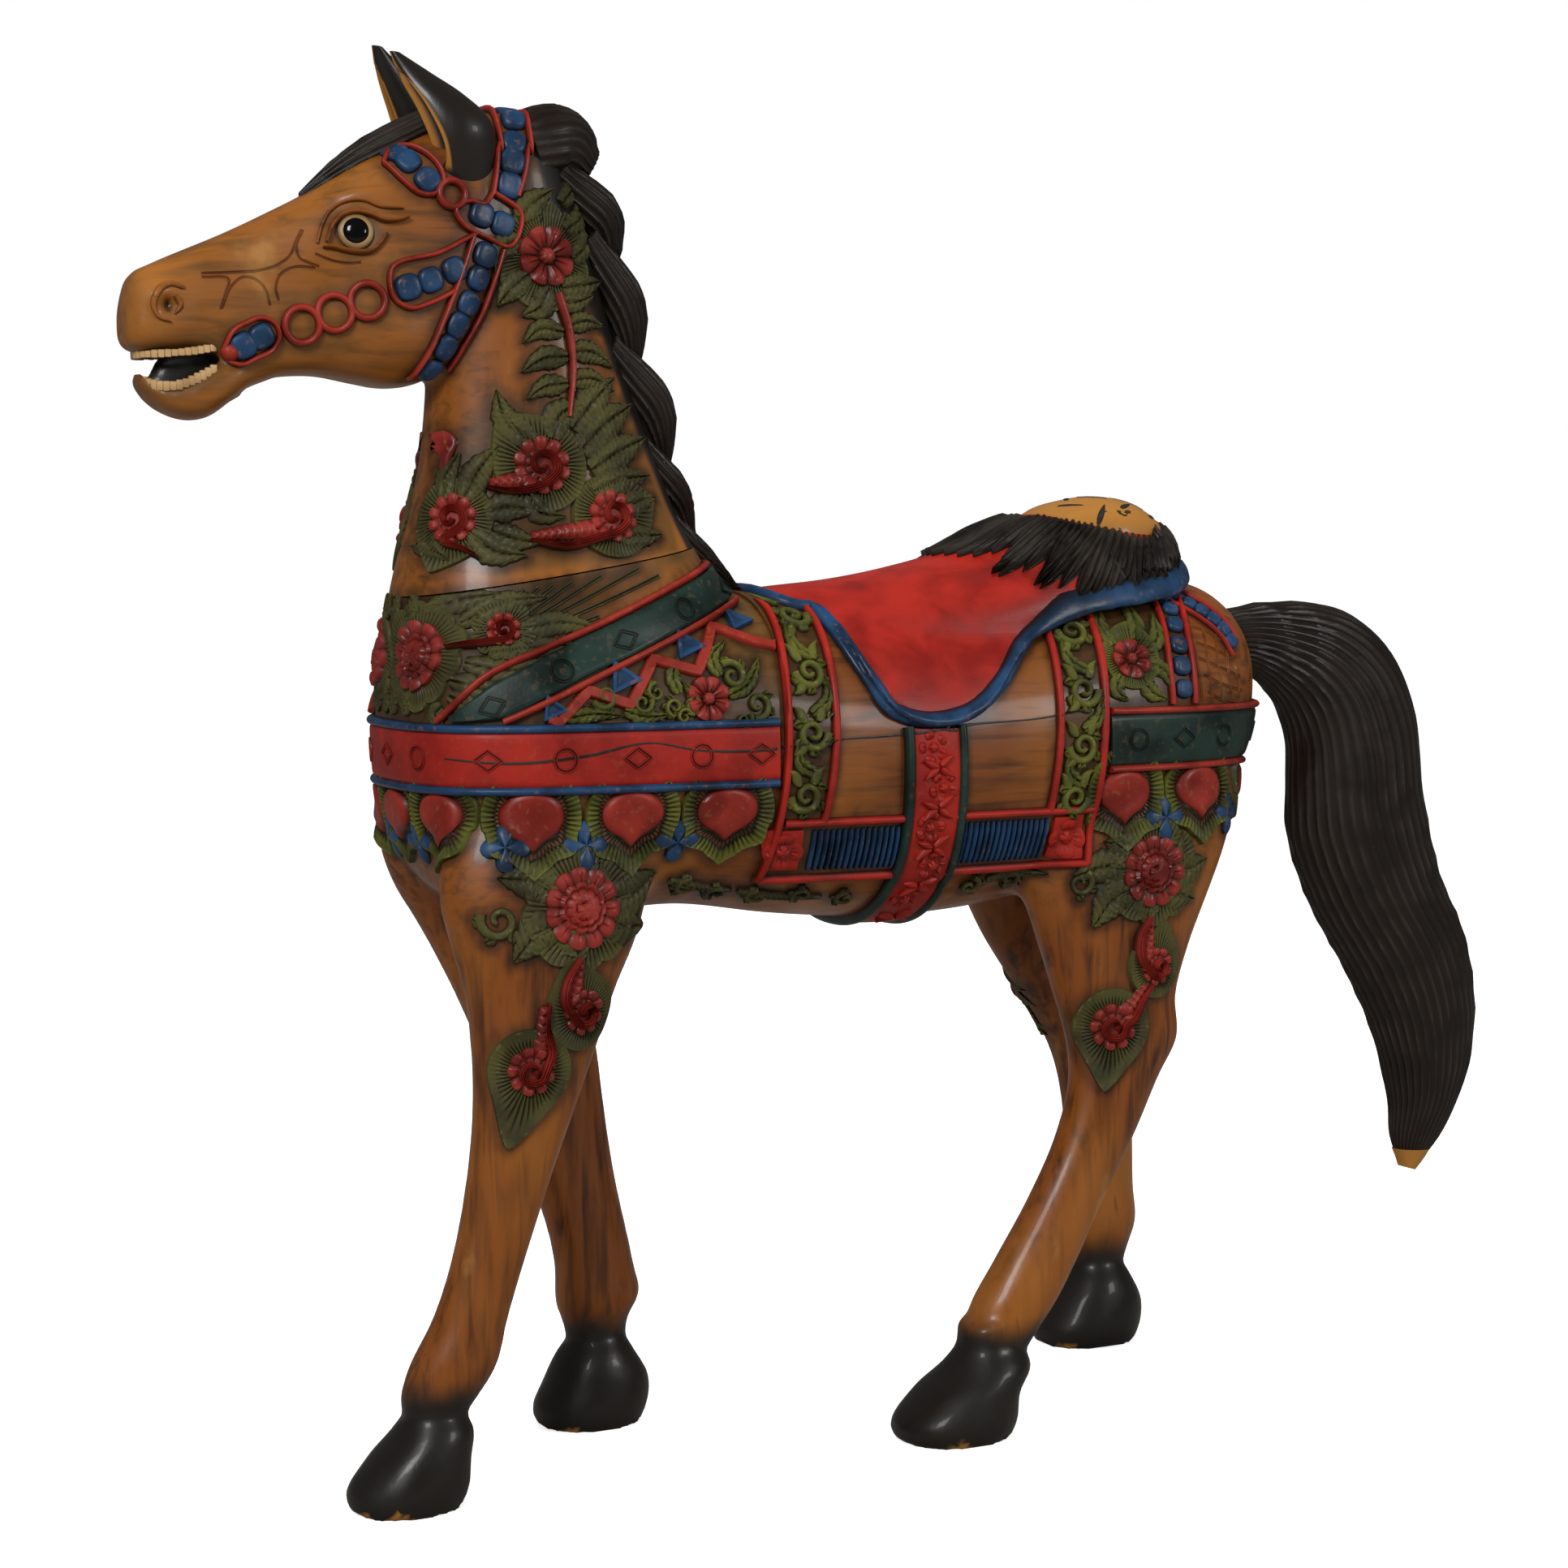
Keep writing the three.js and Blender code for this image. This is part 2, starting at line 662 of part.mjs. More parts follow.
// The saddle: a seat with a raised cantle, and a leather flap on each side with a rolled rim.
function saddle() {
  const outline = [...FLAP, [FLAP.at(-1)[0], 900], [FLAP[0][0], 900]];
  const leather = solid(loft(TRUNK, { ...TRUNK_SHAPE, grow: SEAT_RISE })).intersect(across(outline));
  return leather.add(solid(loft(SEAT, { around: 14, square: 2.1 })));
}

function saddleRim(side) {
  const path = eased(FLAP.slice(1, -1), 1).map(([x, z]) => beside("body", x, z, side));
  return band(path, RIM.width, RIM.rise);
}

// The blanket's raised border with its square corners, and the fringe along its lower edge.
function blanket() {
  const { front, rear, bottom, border, fringe, rise } = BLANKET;
  const cloth = solid(loft(TRUNK, { ...TRUNK_SHAPE, grow: rise }));
  const outer = across(rectangle(front, rear, bottom, 760));
  const inner = across(rectangle(front + border, rear - border, bottom + fringe, 770));
  return cloth.intersect(outer.subtract(inner));
}

// A dome on each side of the head.
function eye(side) {
  const { x, z, radius, rise, root } = EYE;
  const dome = new THREE.SphereGeometry(radius, 10, 5).scale(1, 0.82, (rise + 6) / radius);
  return layOn(dome.translate(0, 0, rise - root), beside("head", x, z, side));
}

// A row of square teeth round the front of a jaw; `slope` lowers the row towards the front.
function teeth({ x, z, long, wide, tall, slope, count }) {
  const row = spread(-1.25, 1.25, count).map((angle) => {
    const size = (2.5 * wide) / count;
    const block = new THREE.BoxGeometry(10, size, tall).rotateZ(-angle);
    const ahead = Math.cos(angle);
    return solid(block.translate(x - long * ahead, wide * Math.sin(angle), z - slope * ahead));
  });
  return join(row);
}

function nostril(side) {
  const { x, y, z, radius } = NOSTRIL;
  return solid(new THREE.SphereGeometry(radius, 8, 6).scale(1.2, 1, 0.8).translate(x, side * y, z));
}

const trunk = solid(loft(TRUNK, TRUNK_SHAPE));
const neckForm = solid(loft(NECK, { around: 14, square: 2.15 }));
const headForm = solid(loft(HEAD, { around: 14, square: 2.3, taper: 0.12 }));
const jaw = solid(loft(JAW, { around: 10, square: 2.3 }));
const legs = Object.keys(LEGS).map((name) =>
  solid(loft(LEGS[name], { around: 8 })).add(solid(hoof(HOOVES[name]))),
);
const mane = join(LOCKS.map(lock));
const tail = solid(loft(TAIL, { around: TAIL_FLUTES * 2, flutes: TAIL_FLUTES, depth: FLUTE_DEPTH }));
const tailSocket = solid(loft(TAIL.slice(0, 4), { around: 12, grow: FLUTE_DEPTH + SOCKET_GAP }));

const bareBody = join([trunk, neckForm, ...legs]);
const bareHead = join([neckForm, headForm]);
TARGETS.body = meshOf(bareBody.add(saddle()), "body", 0xffffff, 1);
TARGETS.head = meshOf(bareHead, "head", 0xffffff, 1);

function flowersOn(target) {
  return FLOWERS.filter(({ on }) => on === target).flatMap((one) =>
    (one.leftOnly ? [LEFT] : SIDES).map((side) => flower(one, side)),
  );
}

function breastFlower() {
  const { z, radius, petals, rise } = BREAST_FLOWER;
  return layOn(rosette(radius, petals, rise), roundAbout("body", BAND.frontX, z, 180));
}

const trappings = join([
  ...flowersOn("body"),
  ...SIDES.flatMap((side) => [
    strap("body", BREAST_STRAP, side),
    strap("body", CROUP_STRAP, side),
    saddleRim(side),
  ]),
  breastFlower(),
  chestBand(),
  rumpBand(),
  girth(),
  saddle(),
  blanket(),
]);
const bridle = join([
  ...flowersOn("head"),
  ...SIDES.flatMap((side) => [...BRIDLE.map((one) => strap("head", one, side)), eye(side)]),
  headstall(),
]);
const bite = join([
  teeth(UPPER_TEETH),
  teeth(LOWER_TEETH),
]);

const body = cutAtJoint(join([bareBody, trappings, mane]), -1).subtract(tailSocket);
const neckAndHead = cutAtJoint(
  join([bareHead, jaw, mane, bridle, bite, solid(loft(FORELOCK, { around: 8 })), ...SIDES.map(ear)]),
  1,
).subtract(join(SIDES.map(nostril)));

const horse = new THREE.Group();
horse.position.x = -MIDDLE;
horse.add(meshOf(body, "body", 0x8a5a2b, 0.45));
horse.add(meshOf(neckAndHead, "neck_and_head", 0x8a5a2b, 0.45));
horse.add(meshOf(tail, "tail", 0x2e2822, 0.55));

export default horse;
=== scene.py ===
import json
import math

import bpy
import numpy as np
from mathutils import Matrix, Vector
from mathutils.bvhtree import BVHTree
from mathutils.kdtree import KDTree

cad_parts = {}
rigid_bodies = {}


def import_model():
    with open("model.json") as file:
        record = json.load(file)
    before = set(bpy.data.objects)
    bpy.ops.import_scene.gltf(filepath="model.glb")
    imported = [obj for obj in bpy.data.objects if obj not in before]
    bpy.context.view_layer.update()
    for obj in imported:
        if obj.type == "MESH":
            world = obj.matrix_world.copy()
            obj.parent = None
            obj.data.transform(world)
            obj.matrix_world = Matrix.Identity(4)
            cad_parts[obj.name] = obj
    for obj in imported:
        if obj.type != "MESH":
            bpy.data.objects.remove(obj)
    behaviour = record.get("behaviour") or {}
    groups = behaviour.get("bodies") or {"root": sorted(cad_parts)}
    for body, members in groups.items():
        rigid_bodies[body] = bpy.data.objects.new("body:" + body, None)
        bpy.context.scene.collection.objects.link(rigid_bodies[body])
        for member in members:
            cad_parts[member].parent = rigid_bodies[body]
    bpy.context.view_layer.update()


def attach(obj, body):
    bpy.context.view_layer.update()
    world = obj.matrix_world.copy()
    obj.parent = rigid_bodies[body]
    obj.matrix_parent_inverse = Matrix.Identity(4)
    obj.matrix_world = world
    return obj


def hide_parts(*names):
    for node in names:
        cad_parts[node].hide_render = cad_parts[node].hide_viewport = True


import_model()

# -------------------- camera, floor and light
# The horse is seen from its left front, from a little above its back. It stands on a pale matt floor under
# four soft boxes and a pale sky.

camera = bpy.data.objects.new("camera", bpy.data.cameras.new("camera"))
bpy.context.scene.collection.objects.link(camera)
bpy.context.scene.camera = camera
camera.location = (-1.365, -2.495, 0.808)
camera.rotation_euler = (math.radians(85), 0, math.radians(-27))
camera.data.lens = 72.9
camera.data.shift_y = 0.007
bpy.context.scene.view_settings.view_transform = "Standard"

bpy.ops.mesh.primitive_circle_add(vertices=96, radius=30, fill_type="NGON")
floor = bpy.context.object
floor.name = "studio_floor"


def linear(code):
    """The linear colour of an sRGB hex value."""
    parts = [int(code[i : i + 2], 16) / 255 for i in (1, 3, 5)]
    return (*[c / 12.92 if c <= 0.04045 else ((c + 0.055) / 1.055) ** 2.4 for c in parts], 1.0)


def add(tree, kind, inputs=None, **settings):
    """A new shader node with its settings; an input is a value, or another node's output to link."""
    made = tree.nodes.new("ShaderNode" + kind)
    for name, value in settings.items():
        setattr(made, name, value)
    for key, value in (inputs or {}).items():
        if isinstance(value, bpy.types.NodeSocket):
            tree.links.new(value, made.inputs[key])
        else:
            made.inputs[key].default_value = value
    return made


def blank_material(name, **constants):
    """A material with only its shader, whose plain values are set on its own sockets."""
    made = bpy.data.materials.new(name)
    made.use_nodes = True
    shader = made.node_tree.nodes["Principled BSDF"]
    for key, value in constants.items():
        shader.inputs[key.replace("_", " ")].default_value = value
    return made, made.node_tree, shader


paper, tree, shader = blank_material("matt_paper_sweep", Roughness=0.95)
shader.inputs["Emission Color"].default_value = linear("#ffffff")
seen = add(tree, "LightPath").outputs["Is Camera Ray"]
grain = add(tree, "TexNoise", {"Scale": 2.0, "Detail": 3.0})
papers = {0: grain.outputs["Fac"], 6: linear("#f1f0ee"), 7: linear("#f7f6f5")}
tone = add(tree, "Mix", papers, data_type="RGBA")
held = add(tree, "Mix", {0: seen, 6: linear("#8f8b86"), 7: tone.outputs[2]}, data_type="RGBA")
tree.links.new(held.outputs[2], shader.inputs["Base Color"])
lit = add(tree, "MapRange", {0: seen, 3: 0.0, 4: 0.66})
tree.links.new(lit.outputs[0], shader.inputs["Emission Strength"])
floor.data.materials.append(paper)

world = bpy.data.worlds.new("studio")
world.use_nodes = True
sky = world.node_tree.nodes["Background"]
sky.inputs["Color"].default_value = linear("#f9f9fa")
rays = add(world.node_tree, "LightPath").outputs
soft = add(world.node_tree, "MapRange", {0: rays["Is Glossy Ray"], 3: 0.52, 4: 0.12})  # dim where it mirrors
glow = add(world.node_tree, "MapRange", {0: rays["Is Camera Ray"], 3: soft.outputs[0], 4: 1.06})
world.node_tree.links.new(glow.outputs[0], sky.inputs["Strength"])
bpy.context.scene.world = world

LAMPS = [  # place, size and power of each soft box, and whether it shows in the gloss
    ((-2.4, -2.4, 2.6), 1.0, 78, True),
    ((1.9, -3.0, 1.9), 0.8, 34, True),
    ((0.3, 0.4, 3.2), 1.4, 40, False),
    ((1.2, 3.2, 1.8), 2.0, 30, False),
]
for place, size, power, mirrored in LAMPS:
    lamp = bpy.data.objects.new("soft_box", bpy.data.lights.new("soft_box", "AREA"))
    lamp.data.size, lamp.data.energy = size, power
    lamp.location = place
    lamp.visible_glossy = mirrored
    lamp.rotation_euler = (Vector((0, 0, 0.6)) - lamp.location).to_track_quat("-Z", "Y").to_euler()
    bpy.context.scene.collection.objects.link(lamp)

# -------------------- the trunk and legs
# Blocks of light hardwood glued up and carved as one: barrel, breast and four legs on their hooves. Each
# form runs through stations [x1, z1, x2, z2, half, y] in millimetres: two edge points of its side view, its
# half thickness across the horse, and how far it stands from the middle plane.

MM = 0.001
MIDDLE = 94  # stations are measured from near the withers; the frame's origin is this far behind
LEFT, RIGHT = SIDES = (-1, 1)
REACH = 600  # beyond any part of the horse's width
JOINT = [(-368, 741), (-70, 788)]  # the neck's sloping joint in the side view, front and rear
JOINT_GAP = 1.2

TRUNK = [
    [-366, 655, -366, 620, 14],
    [-359, 708, -360, 560, 58],
    [-338, 738, -342, 510, 96],
    [-290, 752, -300, 478, 121],
    [-215, 757, -222, 470, 131],
    [-120, 752, -120, 474, 135],
    [-20, 738, -20, 460, 138],
    [80, 732, 80, 452, 138],
    [180, 738, 170, 456, 137],
    [275, 752, 260, 472, 137],
    [360, 754, 352, 494, 130],
    [420, 744, 410, 530, 108],
    [453, 718, 446, 572, 74],
    [470, 680, 467, 620, 28],
]
NECK = [
    [-345, 640, -40, 650, 112],
    [-364, 700, -50, 715, 110],
    [-362, 745, -84, 765, 92],
    [-350, 795, -108, 805, 77],
    [-337, 850, -128, 855, 66],
    [-331, 905, -148, 905, 58],
    [-329, 960, -168, 960, 53],
    [-326, 1015, -184, 1015, 49],
    [-318, 1065, -198, 1062, 45],
    [-306, 1110, -212, 1102, 40],
    [-290, 1142, -228, 1136, 28],
]
LEGS = {
    "front_left": [
        [-322, 600, -195, 615, 30, -62],
        [-350, 552, -176, 565, 42, -80],
        [-360, 500, -173, 510, 45, -90],
        [-352, 462, -186, 462, 43, -94],
        [-340, 420, -208, 420, 38, -97],
        [-334, 370, -227, 370, 34, -97],
        [-339, 262, -267, 262, 26, -94],
        [-368, 150, -304, 150, 26, -90],
        [-390, 108, -316, 108, 29, -89],
        [-395, 88, -328, 90, 26, -88],
        [-392, 70, -342, 72, 23, -87],
    ],
    "front_right": [
        [-322, 600, -195, 615, 30, 62],
        [-350, 552, -175, 565, 42, 80],
        [-338, 500, -167, 510, 45, 88],
        [-312, 455, -160, 455, 42, 86],
        [-282, 400, -155, 400, 36, 84],
        [-256, 340, -149, 340, 32, 80],
        [-212, 225, -134, 225, 26, 76],
        [-189, 140, -116, 140, 28, 75],
        [-188, 108, -111, 112, 29, 75],
        [-181, 88, -122, 92, 24, 75],
        [-178, 70, -124, 72, 22, 75],
    ],
    "hind_left": [
        [220, 640, 405, 650, 34, -62],
        [186, 560, 425, 575, 50, -80],
        [184, 510, 410, 520, 50, -88],
        [196, 465, 385, 465, 46, -92],
        [209, 425, 362, 420, 40, -96],
        [224, 380, 346, 375, 36, -99],
        [234, 340, 346, 338, 32, -103],
        [236, 306, 326, 306, 29, -105],
        [222, 257, 300, 257, 27, -107],
        [191, 200, 266, 200, 26, -109],
        [155, 147, 236, 147, 28, -111],
        [130, 108, 212, 110, 30, -112],
        [122, 84, 194, 88, 27, -113],
        [116, 66, 180, 70, 25, -114],
    ],
    "hind_right": [
        [220, 640, 405, 650, 34, 62],
        [195, 560, 430, 575, 50, 80],
        [208, 510, 424, 520, 50, 86],
        [232, 462, 410, 465, 46, 88],
        [258, 418, 400, 420, 40, 93],
        [290, 375, 400, 372, 35, 98],
        [322, 335, 412, 332, 32, 103],
        [348, 292, 430, 290, 29, 107],
        [370, 200, 441, 200, 26, 113],
        [374, 150, 444, 150, 27, 116],
        [374, 112, 446, 115, 30, 116],
        [376, 88, 438, 92, 26, 116],
        [378, 70, 432, 74, 24, 116],
    ],
}
HOOVES = {  # toe and heel on the ground, toe and heel at the coronet, and the middle's y
    "front_left": (-440, -344, -398, -340, -87),
    "front_right": (-208, -110, -183, -122, 75),
    "hind_left": (55, 164, 110, 178, -114),
    "hind_right": (340, 444, 372, 434, 116),
}


def eased(rows, spacing):
    """The rows joined by a smooth curve, with a row about every `spacing` mm of it."""
    rows = np.array(rows, float)
    span = np.linalg.norm(np.diff(rows[:, : min(4, rows.shape[1])], axis=0), axis=1)
    if rows.shape[1] > 3:
        span /= math.sqrt(2)
    along = np.concatenate([[0], np.cumsum(span)])
    slope = np.diff(rows, axis=0) / span[:, None]
    inner = (slope[:-1] * span[1:, None] + slope[1:] * span[:-1, None]) / (span[1:] + span[:-1])[:, None]
    tangent = np.vstack([slope[:1], inner, slope[-1:]])
    at = np.linspace(0, along[-1], max(2, int(round(along[-1] / spacing)) + 1))
    i = np.clip(np.searchsorted(along, at, side="right") - 1, 0, len(span) - 1)
    h = span[i][:, None]
    t = ((at - along[i]) / span[i])[:, None]
    start, end = rows[i], rows[i + 1]
    return (
        start * (1 + 2 * t) * (1 - t) ** 2
        + tangent[i] * h * t * (1 - t) ** 2
        + end * t**2 * (3 - 2 * t)
        + tangent[i + 1] * h * t**2 * (t - 1)
    )


def way_of(degrees):
    """The flat direction at an angle."""
    return np.array([math.cos(math.radians(degrees)), math.sin(math.radians(degrees))])


def around_a_turn(count):
    """Evenly spaced angles right round."""
    return np.linspace(0, 2 * math.pi, count, endpoint=False)


def ring(row, around, square=2.0, taper=0.0, grow=0.0, groove=None):
    """One section of a form. `square` over 2 makes it boxier, `taper` thins it towards the first edge."""
    x1, z1, x2, z2, half = row[:5]
    y = row[5] if len(row) > 5 else 0.0
    angle = around_a_turn(around)
    c, s = np.cos(angle), np.sin(angle)
    reach = (np.abs(c) ** square + np.abs(s) ** square) ** (-1 / square)
    wide = half * s * reach * (1 - taper * c)
    out = np.stack([(x1 - x2) / 2 * c * reach, wide, (z1 - z2) / 2 * c * reach], 1)
    length = np.linalg.norm(out, axis=1, keepdims=True)
    more = grow + (0 if groove is None else groove(angle, half)[:, None])
    return np.array([(x1 + x2) / 2, y, (z1 + z2) / 2]) + out * (1 + more / np.maximum(length, 1e-6))


def skin(rings):
    """Points and faces of the closed skin over rings of equally many points."""
    around = len(rings[0])
    faces = []
    for here in range(0, (len(rings) - 1) * around, around):
        there = here + around
        for i in range(around):
            j = (i + 1) % around
            faces.append((here + i, here + j, there + j, there + i))
    faces.append(tuple(range(around))[::-1])
    faces.append(tuple((len(rings) - 1) * around + i for i in range(around)))
    return np.vstack(rings), faces


def loft(rows, around=48, spacing=9, **shape):
    """The skin of a form that runs through its stations."""
    return skin([ring(row, around, **shape) for row in eased(rows, spacing)])


def placed(points):
    """Station places in mm as frame places in metres."""
    return (np.asarray(points) - (MIDDLE, 0, 0)) * MM


def pick(piece):
    """Makes it the one piece that Blender's operators work on."""
    bpy.ops.object.select_all(action="DESELECT")
    piece.select_set(True)
    bpy.context.view_layer.objects.active = piece


def turn_outwards(piece, saw=None):
    """Turns the piece's faces outwards, after a saw cut where one is wanted."""
    pick(piece)
    bpy.ops.object.mode_set(mode="EDIT")
    bpy.ops.mesh.select_all(action="SELECT")
    if saw:
        bpy.ops.mesh.bisect(use_fill=True, **saw)
        bpy.ops.mesh.select_all(action="SELECT")
    bpy.ops.mesh.normals_make_consistent(inside=False)
    bpy.ops.object.mode_set(mode="OBJECT")


def new_piece(name, skins):
    """One mesh object of several closed skins."""
    points, faces, start = [], [], 0
    for p, f in skins:
        points.append(p)
        faces += [tuple(i + start for i in face) for face in f]
        start += len(p)
    mesh = bpy.data.meshes.new(name)
    mesh.from_pydata(placed(np.vstack(points)).tolist(), [], faces)
    piece = bpy.data.objects.new(name, mesh)
    bpy.context.scene.collection.objects.link(piece)
    turn_outwards(piece)
    return piece


def work(piece, kind, **settings):
    """Applies one of Blender's modifiers to the piece."""
    step = piece.modifiers.new(kind, kind)
    for name, value in settings.items():
        setattr(step, name, value)
    bpy.context.view_layer.objects.active = piece
    bpy.ops.object.modifier_apply(modifier=kind)


def fuse(piece, voxel):
    """Glues overlapping blocks up into one skin with faces of about `voxel` mm."""
    work(piece, "REMESH", mode="VOXEL", voxel_size=voxel * MM)


def cut_with(piece, tool, operation="DIFFERENCE"):
    """Cuts the tool's shape out of the piece, or with INTERSECT keeps what lies in it."""
    work(piece, "BOOLEAN", object=tool, operation=operation, solver="EXACT")
    bpy.data.objects.remove(tool)


def points_of(piece):
    co = np.empty(len(piece.data.vertices) * 3, np.float32)
    piece.data.vertices.foreach_get("co", co)
    return co.reshape(-1, 3).astype(float) / MM + (MIDDLE, 0, 0)


def set_points(piece, points):
    piece.data.vertices.foreach_set("co", placed(points).astype(np.float32).ravel())
    piece.data.update()


def sand(piece, rounds, amount=1.0, shrink=False):
    """Evens the skin out, as sandpaper does; `amount` may differ from point to point."""
    points = points_of(piece)
    edges = np.empty(len(piece.data.edges) * 2, np.int32)
    piece.data.edges.foreach_get("vertices", edges)
    a, b = edges.reshape(-1, 2).T
    count = np.maximum(np.bincount(edges, minlength=len(points)), 1)
    amount = np.broadcast_to(np.asarray(amount, float), len(points))[:, None]
    for _ in range(rounds):
        for step in (0.5,) if shrink else (0.5, -0.52):
            total = [
                np.bincount(a, points[b, k], len(points)) + np.bincount(b, points[a, k], len(points))
                for k in range(3)
            ]
            mean = np.stack(total, 1) / count[:, None]
            points = points + step * amount * (mean - points)
    set_points(piece, points)


def off_from(angle, middle):
    """How far round an angle is from `middle`, in radians."""
    return np.abs((angle - middle + math.pi) % (2 * math.pi) - math.pi)


def ease_in(value, low, high):
    """0 below `low`, 1 above `high`, and a soft step between."""
    t = np.clip((np.asarray(value, float) - low) / (high - low), 0, 1)
    return t * t * (3 - 2 * t)


def bump(piece, centre, radius, push):
    """Raises or sinks the wood by `push` mm along y, z or x within a soft round patch."""
    points = points_of(piece)
    away = np.linalg.norm((points - centre) / radius, axis=1)
    points += np.exp(-(away**2) * 2)[:, None] * np.asarray(push, float)
    set_points(piece, points)


def hoof(toe, heel, toe_top, heel_top, y):
    half = (heel - toe) / 2
    rows = [
        [toe + 3, 0, heel - 3, 0, half * 0.84, y],
        [toe - 1, 9, heel + 2, 9, half * 0.88, y],
        [toe * 0.62 + toe_top * 0.38, 38, heel + 6, 38, half * 0.84, y],
        [toe_top - 3, 62, heel_top + 4, 64, half * 0.68, y],
        [toe_top + 7, 77, heel_top - 5, 80, half * 0.5, y],
        [toe_top + 9, 98, heel_top - 8, 100, half * 0.48, y],
    ]
    return loft(rows, square=2.2, spacing=5)


def cut_at_joint(piece, above):
    """Saws the block at the neck's joint and keeps the part above or below it."""
    (x1, z1), (x2, z2) = JOINT
    normal = Vector((z1 - z2, 0, x2 - x1)).normalized()
    way = 1 if above else -1
    point = Vector(placed([x1, 0, z1])) + normal * way * JOINT_GAP / 2 * MM
    turn_outwards(piece, dict(plane_co=point, plane_no=normal, clear_inner=above, clear_outer=not above))


blocks = [loft(TRUNK, around=72, square=2.25), loft(NECK[:5], around=64, square=2.15)]
for leg, rows in LEGS.items():
    blocks += [loft(rows), hoof(*HOOVES[leg])]
body = new_piece("trunk_and_legs", blocks)
fuse(body, 4.5)
spots = points_of(body)
under = ease_in(spots[:, 2], 380, 470) * (1 - ease_in(spots[:, 2], 600, 660))
sand(body, 26, under, shrink=True)
sand(body, 6, ease_in(spots[:, 2], 2, 14))
cut_at_joint(body, above=False)


# The wood is stained, rubbed and waxed: brown with long darker grain, olive or black stain where the
# carver coloured the ground, and dark wax and painted shade in the hollows beside the carving.


def stain(piece, name, values):
    """Stores how strongly a stain covers each point of the piece."""
    layer = piece.data.attributes.new(name, "FLOAT", "POINT")
    layer.data.foreach_set("value", np.broadcast_to(values, len(piece.data.vertices)).astype(np.float32))


def inside(points, outline, soft=4.0):
    """1 for points inside an outline of the side view and 0 outside, softened over `soft` mm."""
    x, z = points[:, 0], points[:, 2]
    within = np.zeros(len(points), bool)
    near = np.full(len(points), 1e9)
    corners = np.array(outline, float)
    for (x1, z1), (x2, z2) in zip(corners, np.roll(corners, -1, axis=0)):
        dx, dz = x2 - x1, z2 - z1
        if dz != 0:
            within ^= ((z1 > z) != (z2 > z)) & (x < dx * (z - z1) / dz + x1)
        along = np.clip(((x - x1) * dx + (z - z1) * dz) / (dx**2 + dz**2), 0, 1)
        near = np.minimum(near, np.hypot(x - x1 - along * dx, z - z1 - along * dz))
    return ease_in(np.where(within, near, -near), -soft, soft)


def attribute(tree, name):
    return add(tree, "Attribute", attribute_name=name).outputs["Fac"]


def mix(tree, factor, a, b):
    """A colour between a and b."""
    return add(tree, "Mix", {0: factor, 6: a, 7: b}, data_type="RGBA", clamp_factor=True).outputs[2]


def noise(tree, spread, scale, detail, distortion=0.0):
    """Noise in object space; `scale` holds its repeats per metre along x, y and z."""
    stretched = add(tree, "Mapping", {"Vector": spread, "Scale": scale}).outputs[0]
    inputs = {"Vector": stretched, "Scale": 1.0, "Detail": detail, "Distortion": distortion}
    return add(tree, "TexNoise", inputs).outputs[0]


def between(tree, value, low, high, to_low=0.0, to_high=1.0):
    """Maps a value's range onto another, and stops at its ends."""
    inputs = {0: value, 1: low, 2: high, 3: to_low, 4: to_high}
    return add(tree, "MapRange", inputs, interpolation_type="SMOOTHSTEP").outputs[0]


def times(tree, a, b):
    return add(tree, "Math", {0: a, 1: b}, operation="MULTIPLY").outputs[0]


WOOD = {"dark": "#381a06", "middle": "#7d420f", "light": "#9f6120", "worn": "#bd8c48"}
# colours of the olive stain, of the black stain that also serves as painted shade in the mouth and nostrils,
# and of the dark wax and painted shade in hollows
OLIVE, BLACK_STAIN_AND_SHADE, WAX_AND_SHADE = "#30301a", "#1b1713", "#1a0e06"
GRAIN = (9, 95, 95)  # repeats per metre: long along the grain and 5 mm to 10 mm apart across it

hardwood, tree, shader = blank_material(
    "waxed_carved_hardwood", Specular_IOR_Level=0.3, Coat_Weight=0.12, Coat_Roughness=0.12
)
where = add(tree, "TexCoord").outputs["Object"]
lying = noise(tree, where, GRAIN, 5.0, 0.5)
standing = noise(tree, where, GRAIN[::-1], 5.0, 0.5)
upright = attribute(tree, "upright")
grain = add(tree, "Mix", {0: upright, 2: lying, 3: standing}, data_type="FLOAT").outputs[0]
patches = noise(tree, where, (6, 6, 4), 3.0)
rubs = noise(tree, where, (22, 22, 14), 4.0)
colour = mix(tree, between(tree, grain, 0.24, 0.6), linear(WOOD["dark"]), linear(WOOD["middle"]))
colour = mix(tree, between(tree, patches, 0.4, 0.7, 0.0, 0.8), colour, linear(WOOD["light"]))
colour = mix(tree, between(tree, rubs, 0.62, 0.8, 0.0, 0.45), colour, linear(WOOD["worn"]))
streaks = between(tree, grain, 0.62, 0.76, 0.0, 0.4)
colour = mix(tree, streaks, colour, linear(WOOD["dark"]))
green = times(tree, attribute(tree, "olive"), between(tree, rubs, 0.28, 0.6, 1.0, 0.72))
colour = mix(tree, green, colour, linear(OLIVE))
# dark wax and painted shade on the wood beside the carving and in its hollows
shaded_and_waxed = times(tree, attribute(tree, "grime"), between(tree, rubs, 0.3, 0.7, 0.85, 0.5))
colour = mix(tree, shaded_and_waxed, colour, linear(WAX_AND_SHADE))
# black stain on hooves, ears and the hair's ground, also used as painted shade inside the mouth and nostrils
soot = attribute(tree, "soot")
ragged = add(tree, "Math", {0: soot, 1: times(tree, rubs, 0.6)}, operation="ADD").outputs[0]
colour = mix(tree, between(tree, ragged, 0.5, 1.12), colour, linear(BLACK_STAIN_AND_SHADE))
